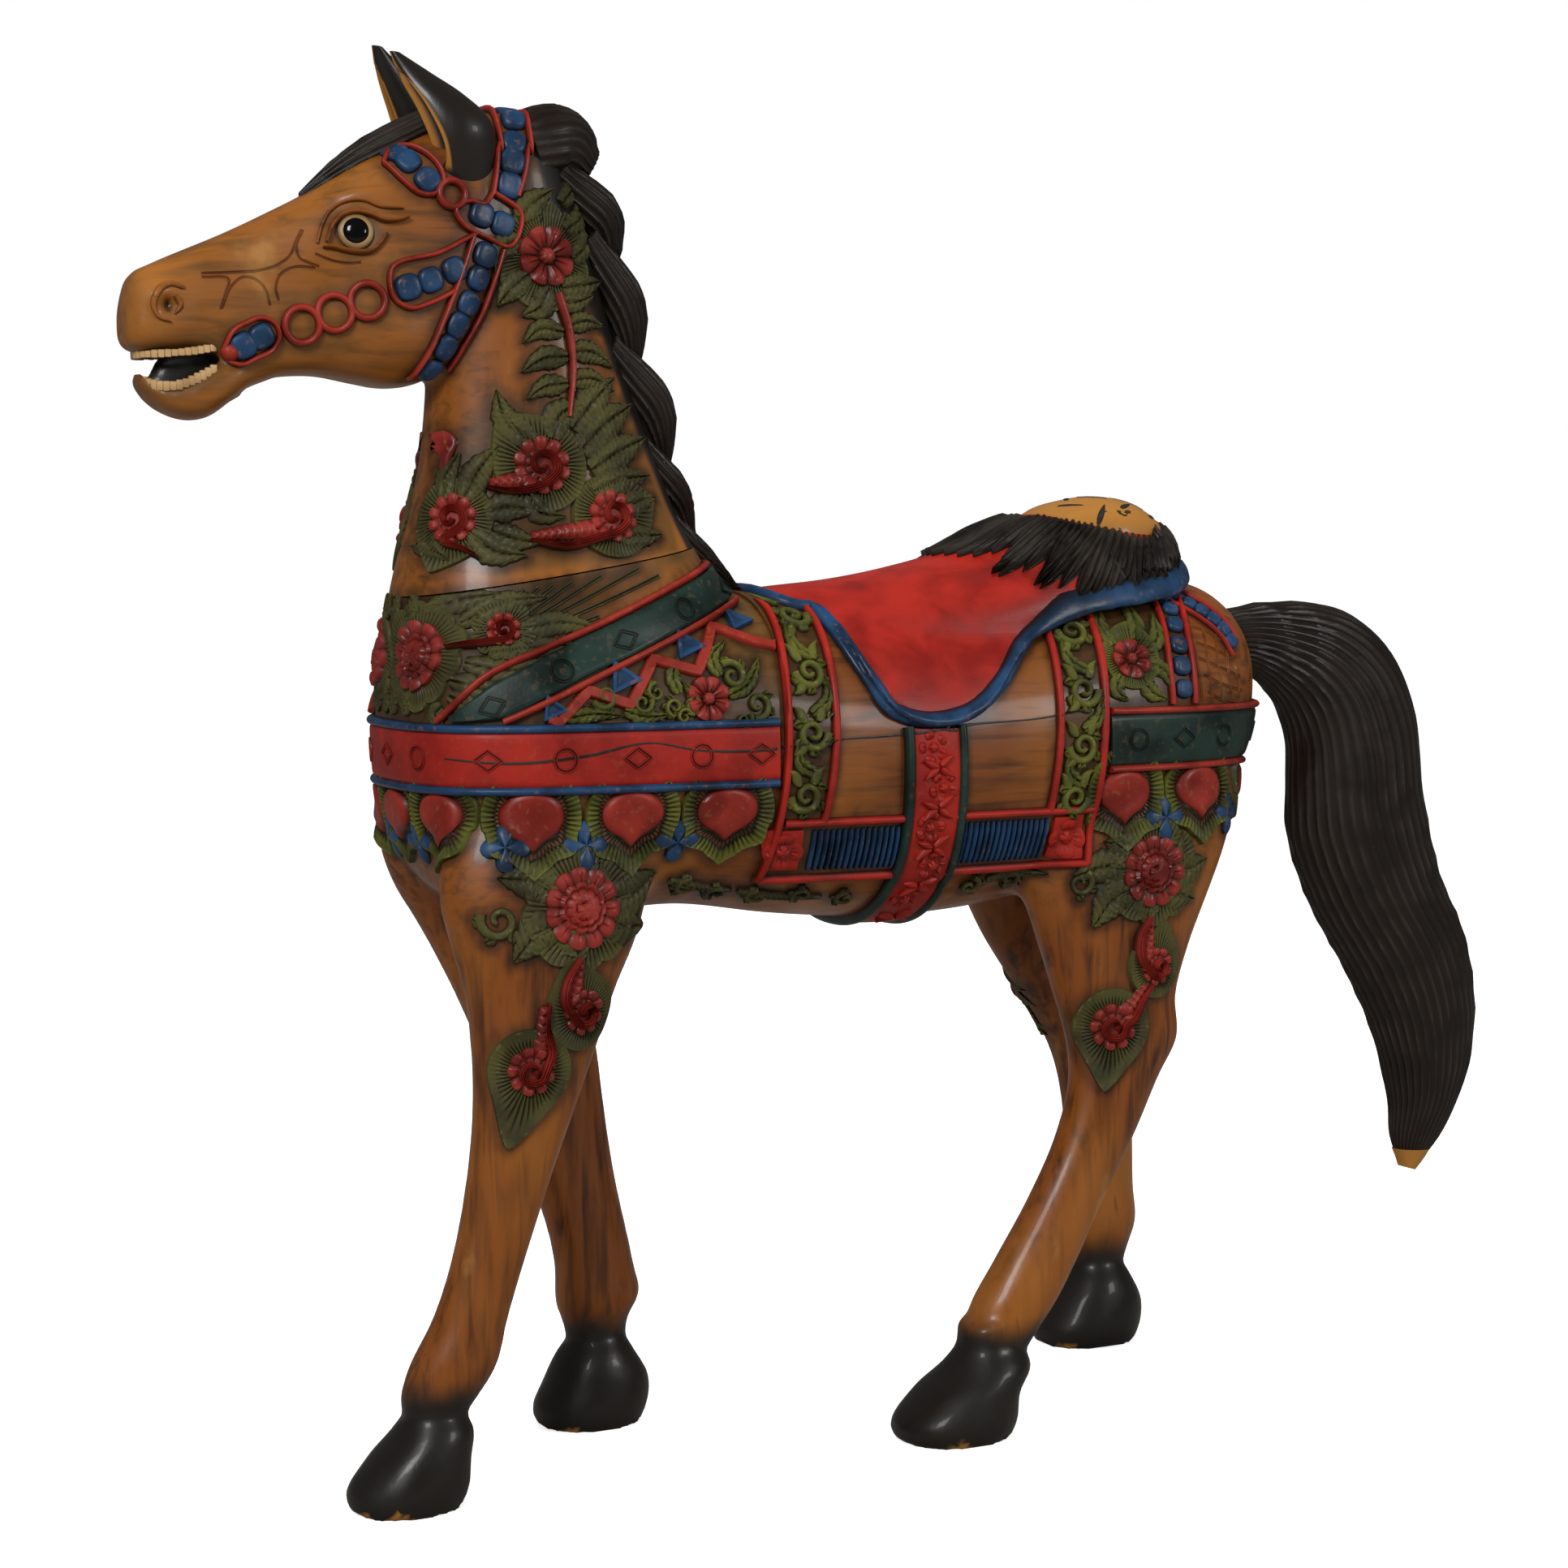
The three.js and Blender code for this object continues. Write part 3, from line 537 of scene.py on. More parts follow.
# bare wood where chipped or rubbed, and a painted highlight on the paler front of the head
colour = mix(tree, attribute(tree, "bare"), colour, linear("#a9742f"))
tree.links.new(colour, shader.inputs["Base Color"])
tree.links.new(between(tree, rubs, 0.3, 0.75, 0.32, 0.56), shader.inputs["Roughness"])
height = add(tree, "Math", {0: grain, 1: rubs}, operation="ADD").outputs[0]
relief = add(tree, "Bump", {"Strength": 0.25, "Distance": 0.0012, "Height": height})
tree.links.new(relief.outputs[0], shader.inputs["Normal"])


def finish_wood(piece, **strengths):
    """Gives a block of bare carving its stains, its painted shade and its wood."""
    for name in ("upright", "olive", "grime", "soot", "bare"):
        stain(piece, name, strengths.get(name, 0.0))
    piece.data.materials.append(hardwood)
    pick(piece)
    bpy.ops.object.shade_smooth_by_angle(angle=math.radians(40))


def stands_for(piece, node):
    """The piece rides on the horse and hides the CAD node that it stands for."""
    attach(piece, "root")
    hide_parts(node)


BREAST = [(-372, 760), (-60, 795), (-60, 637), (-372, 637)]
BREAST_BARE = [(-235, 752), (-60, 775), (-75, 752), (-150, 735), (-215, 712)]
RUMP = [(256, 760), (333, 745), (326, 637), (256, 637)]
spots = points_of(body)
height = spots[:, 2]
hoof_soot = 1 - ease_in(height, 62, 135)
legs = 1 - ease_in(height, 430, 520)
ground = np.maximum(inside(spots, BREAST) * (1 - inside(spots, BREAST_BARE, 10)), inside(spots, RUMP))
# each chip of a hoof's rim: x, y and size
CHIPS = [
    (-412, -122, 13), (-432, -104, 9), (96, -150, 14), (128, -146, 8), (-190, 44, 10), (352, 84, 10),
    (-120, 60, 9),
]
chips = np.zeros(len(spots))
for x, y, size in CHIPS:
    away = np.hypot(np.hypot(spots[:, 0] - x, spots[:, 1] - y) / size, height / (size * 0.55))
    chips = np.maximum(chips, 1 - ease_in(away + 0.25 * np.sin(spots[:, 0] * 1.1 + spots[:, 1]), 0.7, 1.0))
finish_wood(body, upright=legs, olive=ground * 0.8, soot=hoof_soot, bare=chips)
stands_for(body, "body")

# -------------------- the neck and head
# Carved from a second block that sits on the trunk's sloping joint: an arched neck, a long straight nose,
# and an open mouth, its lower jaw hollowed out like a scoop and its lips and nostrils cut in.

HEAD = [
    [-238, 1128, -262, 1010, 36],
    [-272, 1142, -300, 962, 47],
    [-320, 1131, -336, 921, 52],
    [-362, 1114, -368, 913, 51],
    [-398, 1094, -398, 917, 48],
    [-432, 1071, -428, 922, 43],
    [-468, 1052, -460, 921, 37],
    [-505, 1034, -494, 916, 34],
    [-535, 1021, -527, 938, 33],
    [-562, 1009, -557, 938, 32],
    [-581, 998, -579, 938, 29],
    [-588, 974, -587, 944, 17],
]
JAW = [
    [-462, 948, -470, 918, 22],
    [-490, 942, -492, 909, 28],
    [-512, 936, -508, 896, 31],
    [-530, 927, -522, 887, 31],
    [-546, 919, -538, 885, 29],
    [-561, 914, -552, 889, 26],
    [-573, 920, -567, 898, 20],
    [-579, 924, -576, 908, 12],
]
MOUTH = [  # the hollow between the jaws
    [-496, 938, -500, 926, 8],
    [-512, 944, -512, 914, 18],
    [-530, 948, -526, 903, 22],
    [-548, 947, -543, 898, 21],
    [-561, 944, -558, 900, 17],
    [-572, 934, -570, 907, 9],
]
TONGUE = [
    [-490, 946, -492, 905, 12],
    [-520, 946, -518, 892, 13],
    [-545, 943, -540, 890, 12],
    [-560, 932, -556, 894, 9],
    [-567, 918, -565, 900, 5],
]

blocks = [
    loft(NECK[1:], around=64, square=2.15),
    loft(HEAD, around=72, square=2.7, taper=0.12),
    loft(JAW, around=40, square=2.3),
]
head = new_piece("neck_and_head_wood", blocks)
fuse(head, 3)
cut_with(head, new_piece("hollow", [loft(MOUTH, around=24, square=2.2, spacing=5)]))
tongue = new_piece("tongue", [loft(TONGUE, around=24, spacing=5)])
tongue.select_set(True)
head.select_set(True)
bpy.context.view_layer.objects.active = head
bpy.ops.object.join()
fuse(head, 2.95)
sand(head, 8, ease_in(points_of(head)[:, 0], -480, -400), shrink=True)
sand(head, 3)
for side in SIDES:
    bump(head, (-408, side * 44, 1036), (26, 16, 24), (0, -side * 5.5, 0))  # the eye's socket
    bump(head, (-402, side * 36, 1066), (30, 16, 9), (0, side * 2.5, 2))  # the brow over it
    bump(head, (-372, side * 50, 948), (38, 20, 30), (0, side * 5, -1))  # the round of the cheek
    bump(head, (-430, side * 42, 990), (40, 16, 26), (0, -side * 4, 0))  # the hollow before it
    bump(head, (-566, side * 32, 982), (17, 14, 14), (-1, side * 5, 1))  # the flare of the nostril
    bump(head, (-558, side * 36, 975), (8, 14, 9), (0, -side * 10, 0))  # its opening
    bump(head, (-534, side * 30, 962), (12, 14, 22), (0, -side * 2.5, 0))  # the pinch behind the lips
sand(head, 2)
cut_at_joint(head, above=True)

NAPE = [(-300, 1110), (-200, 1110), (-170, 985), (-215, 968), (-292, 975)]
NECK_LEAVES = [(-300, 905), (-160, 915), (-128, 840), (-130, 778), (-300, 762), (-345, 790), (-335, 850)]
spots = points_of(head)
x, y, z = spots.T
# The inside of the mouth, with the block in it, and the nostril openings are darkened with the black stain:
# painted shade in these hollows.
mouth = ease_in(-x, 496, 508) * (1 - ease_in(-x, 569, 573)) * ease_in(z, 897, 903)
lip = 1 - ease_in(-x - (z - 898) * 0.45, 555, 560)
mouth *= (1 - ease_in(z, 938, 943)) * (1 - ease_in(np.abs(y), 18, 22)) * lip
nostril = 0.7 * (1 - ease_in(np.hypot((x + 558) / 4.5, (z - 974) / 6.5), 0.5, 1.3))
mouth = np.maximum(mouth, nostril)
neck_ground = np.maximum(inside(spots, NAPE, 6), 0.8 * inside(spots, NECK_LEAVES, 6))
hair_ground = ease_in(x, -270, -240) * ease_in(x - (-90 - (z - 760) * 0.42), -30, -8)
# The front of the head is made paler: partly its paler wood, partly a painted highlight on the face and
# nose.
face = 0.24 * (1 - ease_in(x, -420, -290)) * (1 - mouth)
upward = ease_in(x, -330, -250) * (1 - ease_in(z, 1090, 1130))
finish_wood(head, upright=upward, olive=neck_ground * 0.75, soot=np.maximum(mouth, hair_ground), bare=face)
stands_for(head, "neck_and_head")


# -------------------- laying carving on the wood
# All the ornament is low relief left standing when the ground round it was cut back. Each bit is a closed
# strip or disc that follows the wood under it and is rooted in it, and its crests and foot are remembered,
# because paint is rubbed off the crests and the foot is darkened with dark wax and painted shade.

SINK = 7  # how deep each bit is rooted in the wood
CORE, POLL = 610, 1080  # heights of the trunk's middle line and of the top of the head
OUTSIDE = 290  # clear of the skin all round those lines


def surface(*pieces):
    """The skin of finished pieces, in station mm, for carving to be laid on."""
    points, faces = [], []
    for piece in pieces:
        start = sum(len(p) for p in points)
        points.append(points_of(piece))
        faces += [tuple(v + start for v in face.vertices) for face in piece.data.polygons]
    return BVHTree.FromPolygons(np.vstack(points).tolist(), faces)


def meet(wood, start, way):
    """Where a ray meets the wood, and the wood's slope there, evened over a finger's width."""
    way = Vector(way).normalized()
    across = way.cross(Vector((0.3, 0.2, 0.9))).normalized() * 9
    along = way.cross(across).normalized() * 9
    shifts = (Vector(), across, -across, along, -along)
    hits = [wood.ray_cast(Vector(start) + shift, way)[0] for shift in shifts]
    point = hits[0] or wood.find_nearest(Vector(start))[0]
    if None in hits[1:]:
        return point, -way
    normal = (hits[1] - hits[2]).cross(hits[3] - hits[4]).normalized()
    return point, normal if normal.dot(way) < 0 else -normal


def beside(wood, x, z, side):
    """The wood at a place of the side view."""
    return meet(wood, (x, side * REACH, z), (0, -side, 0))


def round_about(wood, x, z, degrees):
    """The wood as met from round a vertical line: -90 is the left, 180 the front, 0 the back."""
    out = Vector((*way_of(degrees), 0))
    return meet(wood, Vector((x, 0, z)) + out * REACH, -out)


def spot(place, turn=0.0, up=(0, 0, 1)):
    """A place with its own flat axes: u points to the tail or the left, v up; `turn` is in degrees."""
    point, normal = place
    v = (Vector(up) - normal * normal.dot(Vector(up))).normalized()
    u = v.cross(normal)
    if abs(u.x) > 0.35 and u.x < 0:
        u = -u
    c, s = math.cos(math.radians(turn)), math.sin(math.radians(turn))
    return point, normal, u * c + v * s, v * c - u * s


def spot_at(wood, x, z, side, turn=0.0):
    """A spot at a place of the side view."""
    return spot(beside(wood, x, z, side), turn)


def facing_tail(at):
    """The same place with its u towards the tail, whichever side of the horse it is on."""
    return (*at[:2], at[2] if at[2].x > 0 else -at[2], at[3])


def disc(bits, wood, at, radius, rise, height, outline, around, rings):
    """A round of relief. `height` gives 0 to 1 from how far out and which way, and `outline` scales the
    radius; `around` and `rings` are how many points it has each way."""
    point, normal, u, v = at
    angle = around_a_turn(around)
    reach = radius * (np.ones(around) if outline is None else outline(angle))
    shells, crests = [], []
    for out in np.concatenate([[1.04], np.linspace(1, 0.04, rings)]):
        tall = height(min(out, 1.0), angle) * np.ones(around)
        lift = rise * tall if out <= 1 else np.full(around, -SINK)
        shell = np.empty((around, 3))
        for i in range(around):
            from_here = point + (u * math.cos(angle[i]) + v * math.sin(angle[i])) * reach[i] * out
            hit = wood.ray_cast(from_here + normal * 30, -normal, 70)[0] or wood.find_nearest(from_here)[0]
            shell[i] = hit + normal * lift[i]
        shells.append(shell)
        crests.append(np.where(out > 1, 0.0, tall))
    points, faces = skin(shells)
    bits.append((points, faces, np.concatenate(crests)))


def trace(wood, path, side, spacing, straight=False):
    """Places on the wood along a path drawn in the side view."""
    path = np.array(path, float)
    if straight:
        runs = []
        for a, b in zip(path, path[1:]):
            count = max(2, int(np.hypot(*(b - a)) / spacing))
            runs.append(np.linspace(a, b, count, endpoint=False))
        path = np.vstack(runs + [path[-1:]])
    else:
        path = eased(path, spacing)
    return [beside(wood, x, z, side) for x, z in path]


def domed(v):
    return 0.25 + 0.75 * np.sqrt(np.clip(1 - v * v, 0, 1))


def flat_topped(v):
    return 1 - 0.3 * ease_in(np.abs(v), 0.86, 1.0)


def cut_in(v):
    """A scored line: a low burr on each side of a groove, whose low middle takes painted shade."""
    return np.where(np.abs(v) > 0.9, 0.3, np.where(np.abs(v) > 0.45, 1.0, 0.12))


def strip(bits, wood, places, width, rise, profile=domed, across=7, texture=None, closed=False, root=SINK):
    """Relief along a row of places. `width` is in mm, or a function of how far along it is from 0 to 1."""
    points = np.array([p for p, _ in places])
    normals = np.array([n for _, n in places])
    for _ in range(3):
        middle = (np.roll(normals, 1, 0) + np.roll(normals, -1, 0)) / 2
        normals[1:-1] = ((normals + middle) / 2)[1:-1]
    along = np.gradient(points, axis=0)
    if closed:
        along = np.roll(points, -1, 0) - np.roll(points, 1, 0)
    run = np.concatenate([[0], np.cumsum(np.linalg.norm(np.diff(points, axis=0), axis=1))])
    v = np.linspace(-1, 1, across)
    shape = profile(v)
    shells, crests = [], []
    for i, (point, normal, way) in enumerate(zip(points, normals, along)):
        normal = Vector(normal).normalized()
        aside = normal.cross(Vector(way)).normalized()
        t = run[i] / run[-1]
        half = (width(t) if callable(width) else width) / 2
        tall = shape + (0 if texture is None else texture(run[i], v, t))
        shell = np.empty((across + 2, 3))
        for k in range(across):
            here = Vector(point) + aside * v[k] * half
            hit = wood.ray_cast(here + normal * 25, -normal, 60)[0] or wood.find_nearest(here)[0]
            shell[k + 1] = hit + normal * rise * tall[k]
            if k in (0, across - 1):
                shell[0 if k == 0 else -1] = hit - normal * root
        shells.append(shell)
        crests.append(np.concatenate([[0], tall, [0]]))
    if closed:
        shells.append(shells[0])
        crests.append(crests[0])
    made, faces = skin(shells)
    if closed:
        faces = faces[:-2]
        last = len(made) - (across + 2)
        faces = [tuple(v - last if v >= last else v for v in face) for face in faces]
        made, crests = made[:last], crests[:-1]
    bits.append((made, faces, np.clip(np.concatenate(crests), 0, 1)))


def lay(bits, wood, path, side, spacing, *shape, **more):
    """Relief along a path of the side view."""
    strip(bits, wood, trace(wood, path, side, spacing), *shape, **more)


def over(wood, x, degrees, z=CORE, side=LEFT):
    """The wood as met from round the horse's length: 90 is the top, 180 the left and 270 the belly. For
    the right side the angle is mirrored."""
    out = Vector((0, *way_of(degrees if side == LEFT else 180 - degrees)))
    return meet(wood, Vector((x, 0, z)) + out * OUTSIDE, -out)


def sketch(wood, at, offsets):
    """Places on the wood at offsets from a spot, in mm towards its u and v."""
    point, normal, u, v = at
    places = []
    for a, b in offsets:
        start = point + u * a + v * b
        hit, slope = wood.ray_cast(start + normal * 30, -normal, 75)[:2]
        if hit is None:
            hit, slope = wood.find_nearest(start)[:2]
        places.append((hit, (slope + normal).normalized()))
    return places


def coil(radius, turns, start, hand, inner=0.18):
    """A spiral's offsets from its outer end to its middle."""
    t = np.linspace(0, 1, int(16 * turns) + 4)
    angle = math.radians(start) + hand * 2 * math.pi * turns * t
    out = radius * (1 - (1 - inner) * t)
    return np.stack([out * np.cos(angle), out * np.sin(angle)], 1)


def cobble(out, angle):
    """A flat bead with an eased edge, darkened round its foot with painted shade and dark wax."""
    return 0.3 + 0.7 * math.sqrt(max(0, 1 - out**6))


def boxy(angle):
    """A round outline squared off a little."""
    return (np.abs(np.cos(angle)) ** 2.8 + np.abs(np.sin(angle)) ** 2.8) ** (-1 / 2.8)


def beads(bits, wood, places, radius, rise=5.5, count=None):
    """Beads side by side along a row of places; no two are quite alike."""
    points = np.array([p for p, _ in places])
    run = np.concatenate([[0], np.cumsum(np.linalg.norm(np.diff(points, axis=0), axis=1))])
    count = count or max(1, round(run[-1] / (radius * 1.75)))
    for k in range(count):
        i = int(np.searchsorted(run, run[-1] * (k + 0.5) / count))
        ahead = Vector(points[min(i + 1, len(points) - 1)] - points[max(i - 1, 0)])
        size = radius * (1 + 0.05 * math.sin(5 * k))
        disc(bits, wood, spot(places[i], up=ahead), size, rise, cobble, boxy, 32, 7)


def petalled(count, deep=0.1):
    """An outline of round petals."""
    return lambda angle: 1 - deep * (1 - np.abs(np.sin(count * angle / 2)) ** 0.6)


def creased(count, angle, deep=0.5):
    """The dips between petals."""
    return 1 - deep * np.abs(np.cos(count * angle / 2)) ** 8


def gouged(count, angle, t, deep):
    """Gouge cuts along the petals, deepest at their roots; t runs from root to rim."""
    return 1 - deep * (1 - t) * np.abs(np.cos(2 * count * angle)) ** 3


def blossom(count, button=0.26):
    """An open flower: a button, a sunk ring round it, and petals parted by creases and gouged lengthways."""
    def height(out, angle):
        if out < button:
            return 0.75 + 0.25 * math.cos(out / button * math.pi / 2)
        t = (out - button) / (1 - button)
        swell = 0.2 + 0.62 * math.sin(math.pi * (0.06 + 0.66 * t))
        return swell * creased(count, angle) * gouged(count, angle, t, 0.4)
    return height


def rosette(count):
    """A big flower: a broad domed eye with a small swirl cut in it, a ring, and a wreath of petals."""
    eye = 0.58

    def height(out, angle):
        if out < eye:
            swirl = 0.45 * np.abs(np.cos(angle / 2 - 7 * out)) ** 12 * (0.06 < out < 0.36)
            return 0.78 + 0.2 * math.cos(out * 2.6) - swirl - 0.45 * math.exp(-(((out - 0.5) / 0.05) ** 2))
        t = (out - eye) / (1 - eye)
        swell = 0.25 + 0.55 * math.sin(math.pi * (0.08 + 0.66 * t))
        return swell * creased(count, angle, 0.4) * gouged(count, angle, t, 0.35)
    return height


def rayed(cuts, rim):
    """A leaf seen flat: gouged rays that stop short of a smooth rim."""
    def height(out, angle):
        rays = np.abs(np.cos(cuts * angle / 2)) ** 3 * ease_in(np.array(1 - out), 1 - rim, 1.06 - rim)
        return 0.78 + 0.16 * (out > rim) - 0.5 * rays
    return height


def drop(point, reach, sharp=0.34):
    """A round outline drawn out to a point; `point` is in degrees and `reach` is how far past the round."""
    def outline(angle):
        return 0.95 * (1 + reach * np.exp(-((off_from(angle, math.radians(point)) / sharp) ** 1.2)))
    return outline


def flower(bits, wood, at, radius, count, heart=blossom, rise=7.5):
    disc(bits, wood, at, radius, rise, heart(count), petalled(count), count * 10, 12)


def leaf_shape(widest, teeth=0):
    """A pointed leaf's width, cut back in teeth along its edge."""
    def width(t):
        whole = widest * math.sin(math.pi * min(1, 0.08 + 0.92 * t) ** 0.75)
        return 1.2 + whole * (1 - 0.16 * ((teeth * t) % 1))
    return width


def hatching(pitch, slant=1.2, deep=0.42):
    """Gouge cuts that run from the midrib out and forward to the edges."""
    def texture(run, v, t):
        cuts = np.abs(np.cos(math.pi * (run / pitch - slant * np.abs(v)))) ** 4
        return -deep * cuts - 0.5 * np.exp(-((v / 0.13) ** 2))
    return texture


def leaf(bits, wood, places, widest, rise, teeth, pitch=5.0):
    strip(bits, wood, places, leaf_shape(widest, teeth), rise, domed, 11, hatching(pitch))


def leaves(bits, wood, paths, side, *shape):
    """A leaf along each path, from its stalk to its tip."""
    for path in paths:
        leaf(bits, wood, trace(wood, path, side, 2.5), *shape)


def wreath(count):
    """Petals round a flat heart."""
    heart = 0.56

    def height(out, angle):
        if out < heart:
            return 0.62
        t = (out - heart) / (1 - heart)
        return (0.3 + 0.65 * math.sin(math.pi * (0.1 + 0.6 * t))) * creased(count, angle)
    return height


def petal(out, angle):
    return (0.3 + 0.7 * math.cos(out * 1.4)) * (1 - 0.35 * np.abs(np.cos(2 * angle)) ** 6 * (out > 0.3))


def spiral_flower(bits, wood, at, radius, tail, start, hand, petals, cord, frill):
    """A wreath with a fluted stem that sweeps in from its tail and curls up in the heart, and small petals
    along the outside of the tail. `tail` holds offsets from the heart, from the point on."""
    disc(bits, wood, at, radius, 7, wreath(petals), petalled(petals, 0.15), petals * 10, 10)
    path = eased([*tail, *coil(radius * 0.62, 1.3, start, hand, 0.1)[::3]], 2.2)
    width = lambda t: 2 + (cord - 2) * min(1, t / 0.3) * (1 - 0.5 * ease_in(t, 0.55, 1))
    flutes = lambda run, v, t: -0.22 * np.abs(np.cos(2.5 * math.pi * v)) ** 4
    strip(bits, wood, sketch(wood, at, path), width, 11.5, domed, 11, flutes)
    side_on = np.array([tail[0], tail[-1]], float)
    for k in range(frill):
        t = (k + 1) / (frill + 1)
        here = side_on[0] + (side_on[1] - side_on[0]) * t
        way = (side_on[1] - side_on[0]) / np.linalg.norm(side_on[1] - side_on[0])
        off = np.array([way[1], -way[0]]) * -hand * (3 + 5 * t)
        point, normal = sketch(wood, at, [here + off])[0]
        disc(bits, wood, (point, at[1], at[2], at[3]), 4 + 5.5 * t, 6.5, petal, None, 20, 5)


def scroll(bits, wood, at, radius, hand, start, turns=1.2, lobes=3, rise=5):
    """A curled tendril with round leaf lobes off its back."""
    stem = sketch(wood, at, coil(radius, turns, start, hand))
    strip(bits, wood, stem, lambda t: radius * (0.6 - 0.26 * t), rise)
    for k in range(lobes):
        angle = math.radians(start + hand * (35 + 62 * k))
        base = np.array([math.cos(angle), math.sin(angle)]) * radius
        back = angle - hand * 0.9
        way = np.array([math.cos(back), math.sin(back)]) * radius * 0.62
        places = sketch(wood, at, [base * 0.9 + way * t for t in np.linspace(0, 1, 7)])
        strip(bits, wood, places, leaf_shape(radius * 0.66), rise * 0.9, domed, 7, hatching(4, 0.6, 0.25))


def scored(bits, wood, places, width=3.2, rise=0.9):
    """A line scored in the wood, with the burr left on its edges."""
    strip(bits, wood, places, width, rise, cut_in, 9, root=3)


def mark(bits, wood, at, kind):
    """A circle or a diamond scored in a strap."""
    size = 9
    turn = around_a_turn(28)
    if kind == "circle":
        offsets = size * np.stack([np.cos(turn), np.sin(turn)], 1)
    else:
        corner = np.array([[1.25, 0], [0, 0.9], [-1.25, 0], [0, -0.9], [1.25, 0]]) * size
        offsets = np.vstack([np.linspace(a, b, 7, endpoint=False) for a, b in zip(corner, corner[1:])])
    strip(bits, wood, sketch(wood, at, offsets), 3.4, 1.2, cut_in, 9, closed=True, root=3)


def carve(name, bits, paint, node):
    """Makes one painted piece of its bits of relief."""
    piece = new_piece(name, [(points, faces) for points, faces, _ in bits])
    stain(piece, "crest", np.concatenate([crest for _, _, crest in bits]))
    piece.data.materials.append(paint)
    bpy.ops.object.shade_smooth_by_angle(angle=math.radians(45))
    stands_for(piece, node)


def carve_wood(name, bits, node):
    """Relief left in the wood's own colour, with dark wax and painted shade in its hollows."""
    piece = new_piece(name, [(points, faces) for points, faces, _ in bits])
    crest = np.concatenate([crest for _, _, crest in bits])
    finish_wood(piece, grime=np.clip(1.15 - 1.6 * crest, 0, 1))
    stands_for(piece, node)


def oil_paint(name, deep, full, rub, rough=0.4, under="#96643a"):
    """Thin oil paint, brushed unevenly, rubbed off the crests, and darkened at the foot with dark wax and
    painted shade.
    """
    made, tree, shader = blank_material(name, Specular_IOR_Level=0.28, Coat_Weight=0.06, Coat_Roughness=0.25)
    where = add(tree, "TexCoord").outputs["Object"]
    crest = attribute(tree, "crest")
    brushed = noise(tree, where, (24, 24, 24), 5.0, 0.3)
    fine = noise(tree, where, (160, 160, 160), 3.0)
    colour = mix(tree, between(tree, brushed, 0.3, 0.68), linear(deep), linear(full))
    # painted shade and dark wax at the foot of the relief and in its grooves and furrows
    foot = between(tree, crest, 0.12, 0.78, 0.95, 0.0)
    colour = mix(tree, foot, colour, linear(WAX_AND_SHADE))
    worn = times(tree, between(tree, crest, 0.8, 1.0), between(tree, fine, 0.56, 0.7, 0.0, rub))
    colour = mix(tree, worn, colour, linear(under))
    tree.links.new(colour, shader.inputs["Base Color"])
    tree.links.new(between(tree, brushed, 0.3, 0.7, rough - 0.08, rough + 0.14), shader.inputs["Roughness"])
    relief = add(tree, "Bump", {"Strength": 0.3, "Distance": 0.0008, "Height": fine})
    tree.links.new(relief.outputs[0], shader.inputs["Normal"])
    return made


RED = oil_paint("bright_red_oil_paint", "#7c1107", "#a01c0d", rough=0.5, rub=0.1)
BRICK = oil_paint("brick_red_oil_paint", "#67160c", "#94291b", rub=0.25)
ROSE = oil_paint("dull_rose_oil_paint", "#57140f", "#8f2a22", rub=0.4)
BLUE = oil_paint("prussian_blue_oil_paint", "#0e2338", "#1c4268", rub=0.25)
GREEN = oil_paint("olive_green_oil_paint", "#30320e", "#5a5c1c", rough=0.58, rub=0.4, under="#8b8440")
MOSS = oil_paint("dark_moss_oil_paint", "#2c2a11", "#4c4920", rough=0.62, rub=0.5, under="#7d7640")
BOTTLE = oil_paint("bottle_green_oil_paint", "#0c1b17", "#19312a", rub=0.12)
BLACK = oil_paint("bone_black_oil_paint", "#14110e", "#302a24", rough=0.45, rub=0.3, under="#5c4630")

# -------------------- the saddle
# Carved with the trunk: a dished seat that rises to a high cantle, and a flap on each side with a rolled
# blue rim. The cantle is carved as a shaggy black fleece under a roll of bare wood.

SEAT = [
    [-52, 744, -50, 700, 20],
    [-15, 748, -15, 660, 66],
    [50, 754, 50, 650, 92],
    [115, 765, 115, 645, 102],
    [170, 779, 170, 640, 106],
    [225, 804, 222, 630, 106],
    [300, 815, 300, 630, 102],
    [358, 809, 358, 650, 84],
    [382, 797, 382, 680, 58],
    [391, 772, 391, 710, 24],
]
FLAP = [
    (-56, 748), (0, 733), (6, 702), (24, 658), (50, 635), (91, 632), (128, 648), (160, 680), (206, 713),
    (249, 728), (304, 735), (352, 742), (392, 756),
]


def block_across(name, outline):
    """A block right across the horse with this outline in the side view."""
    rows = [np.array([(x, y, z) for x, z in outline], float) for y in (-REACH / 2, REACH / 2)]
    return new_piece(name, [skin(rows)])


blocks = [loft(TRUNK, around=96, square=2.25, grow=7), loft(SEAT, around=72, square=2.1)]
saddle = new_piece("saddle", blocks)
fuse(saddle, 4)
flap_curve = [tuple(p) for p in eased(FLAP[1:-1], 8)]
above_horse = 900
flap_edge = [FLAP[0], *flap_curve, FLAP[-1], (392, above_horse), (-56, above_horse)]
cut_with(saddle, block_across("flap_outline", flap_edge), "INTERSECT")
fuse(saddle, 4)
sand(saddle, 10, shrink=True)
stain(saddle, "crest", 0.75)
saddle.data.materials.append(RED)
bpy.ops.object.shade_smooth()
stands_for(saddle, "body")

trunk_wood = surface(body)
saddled_wood = surface(body, saddle)
head_wood = surface(head)

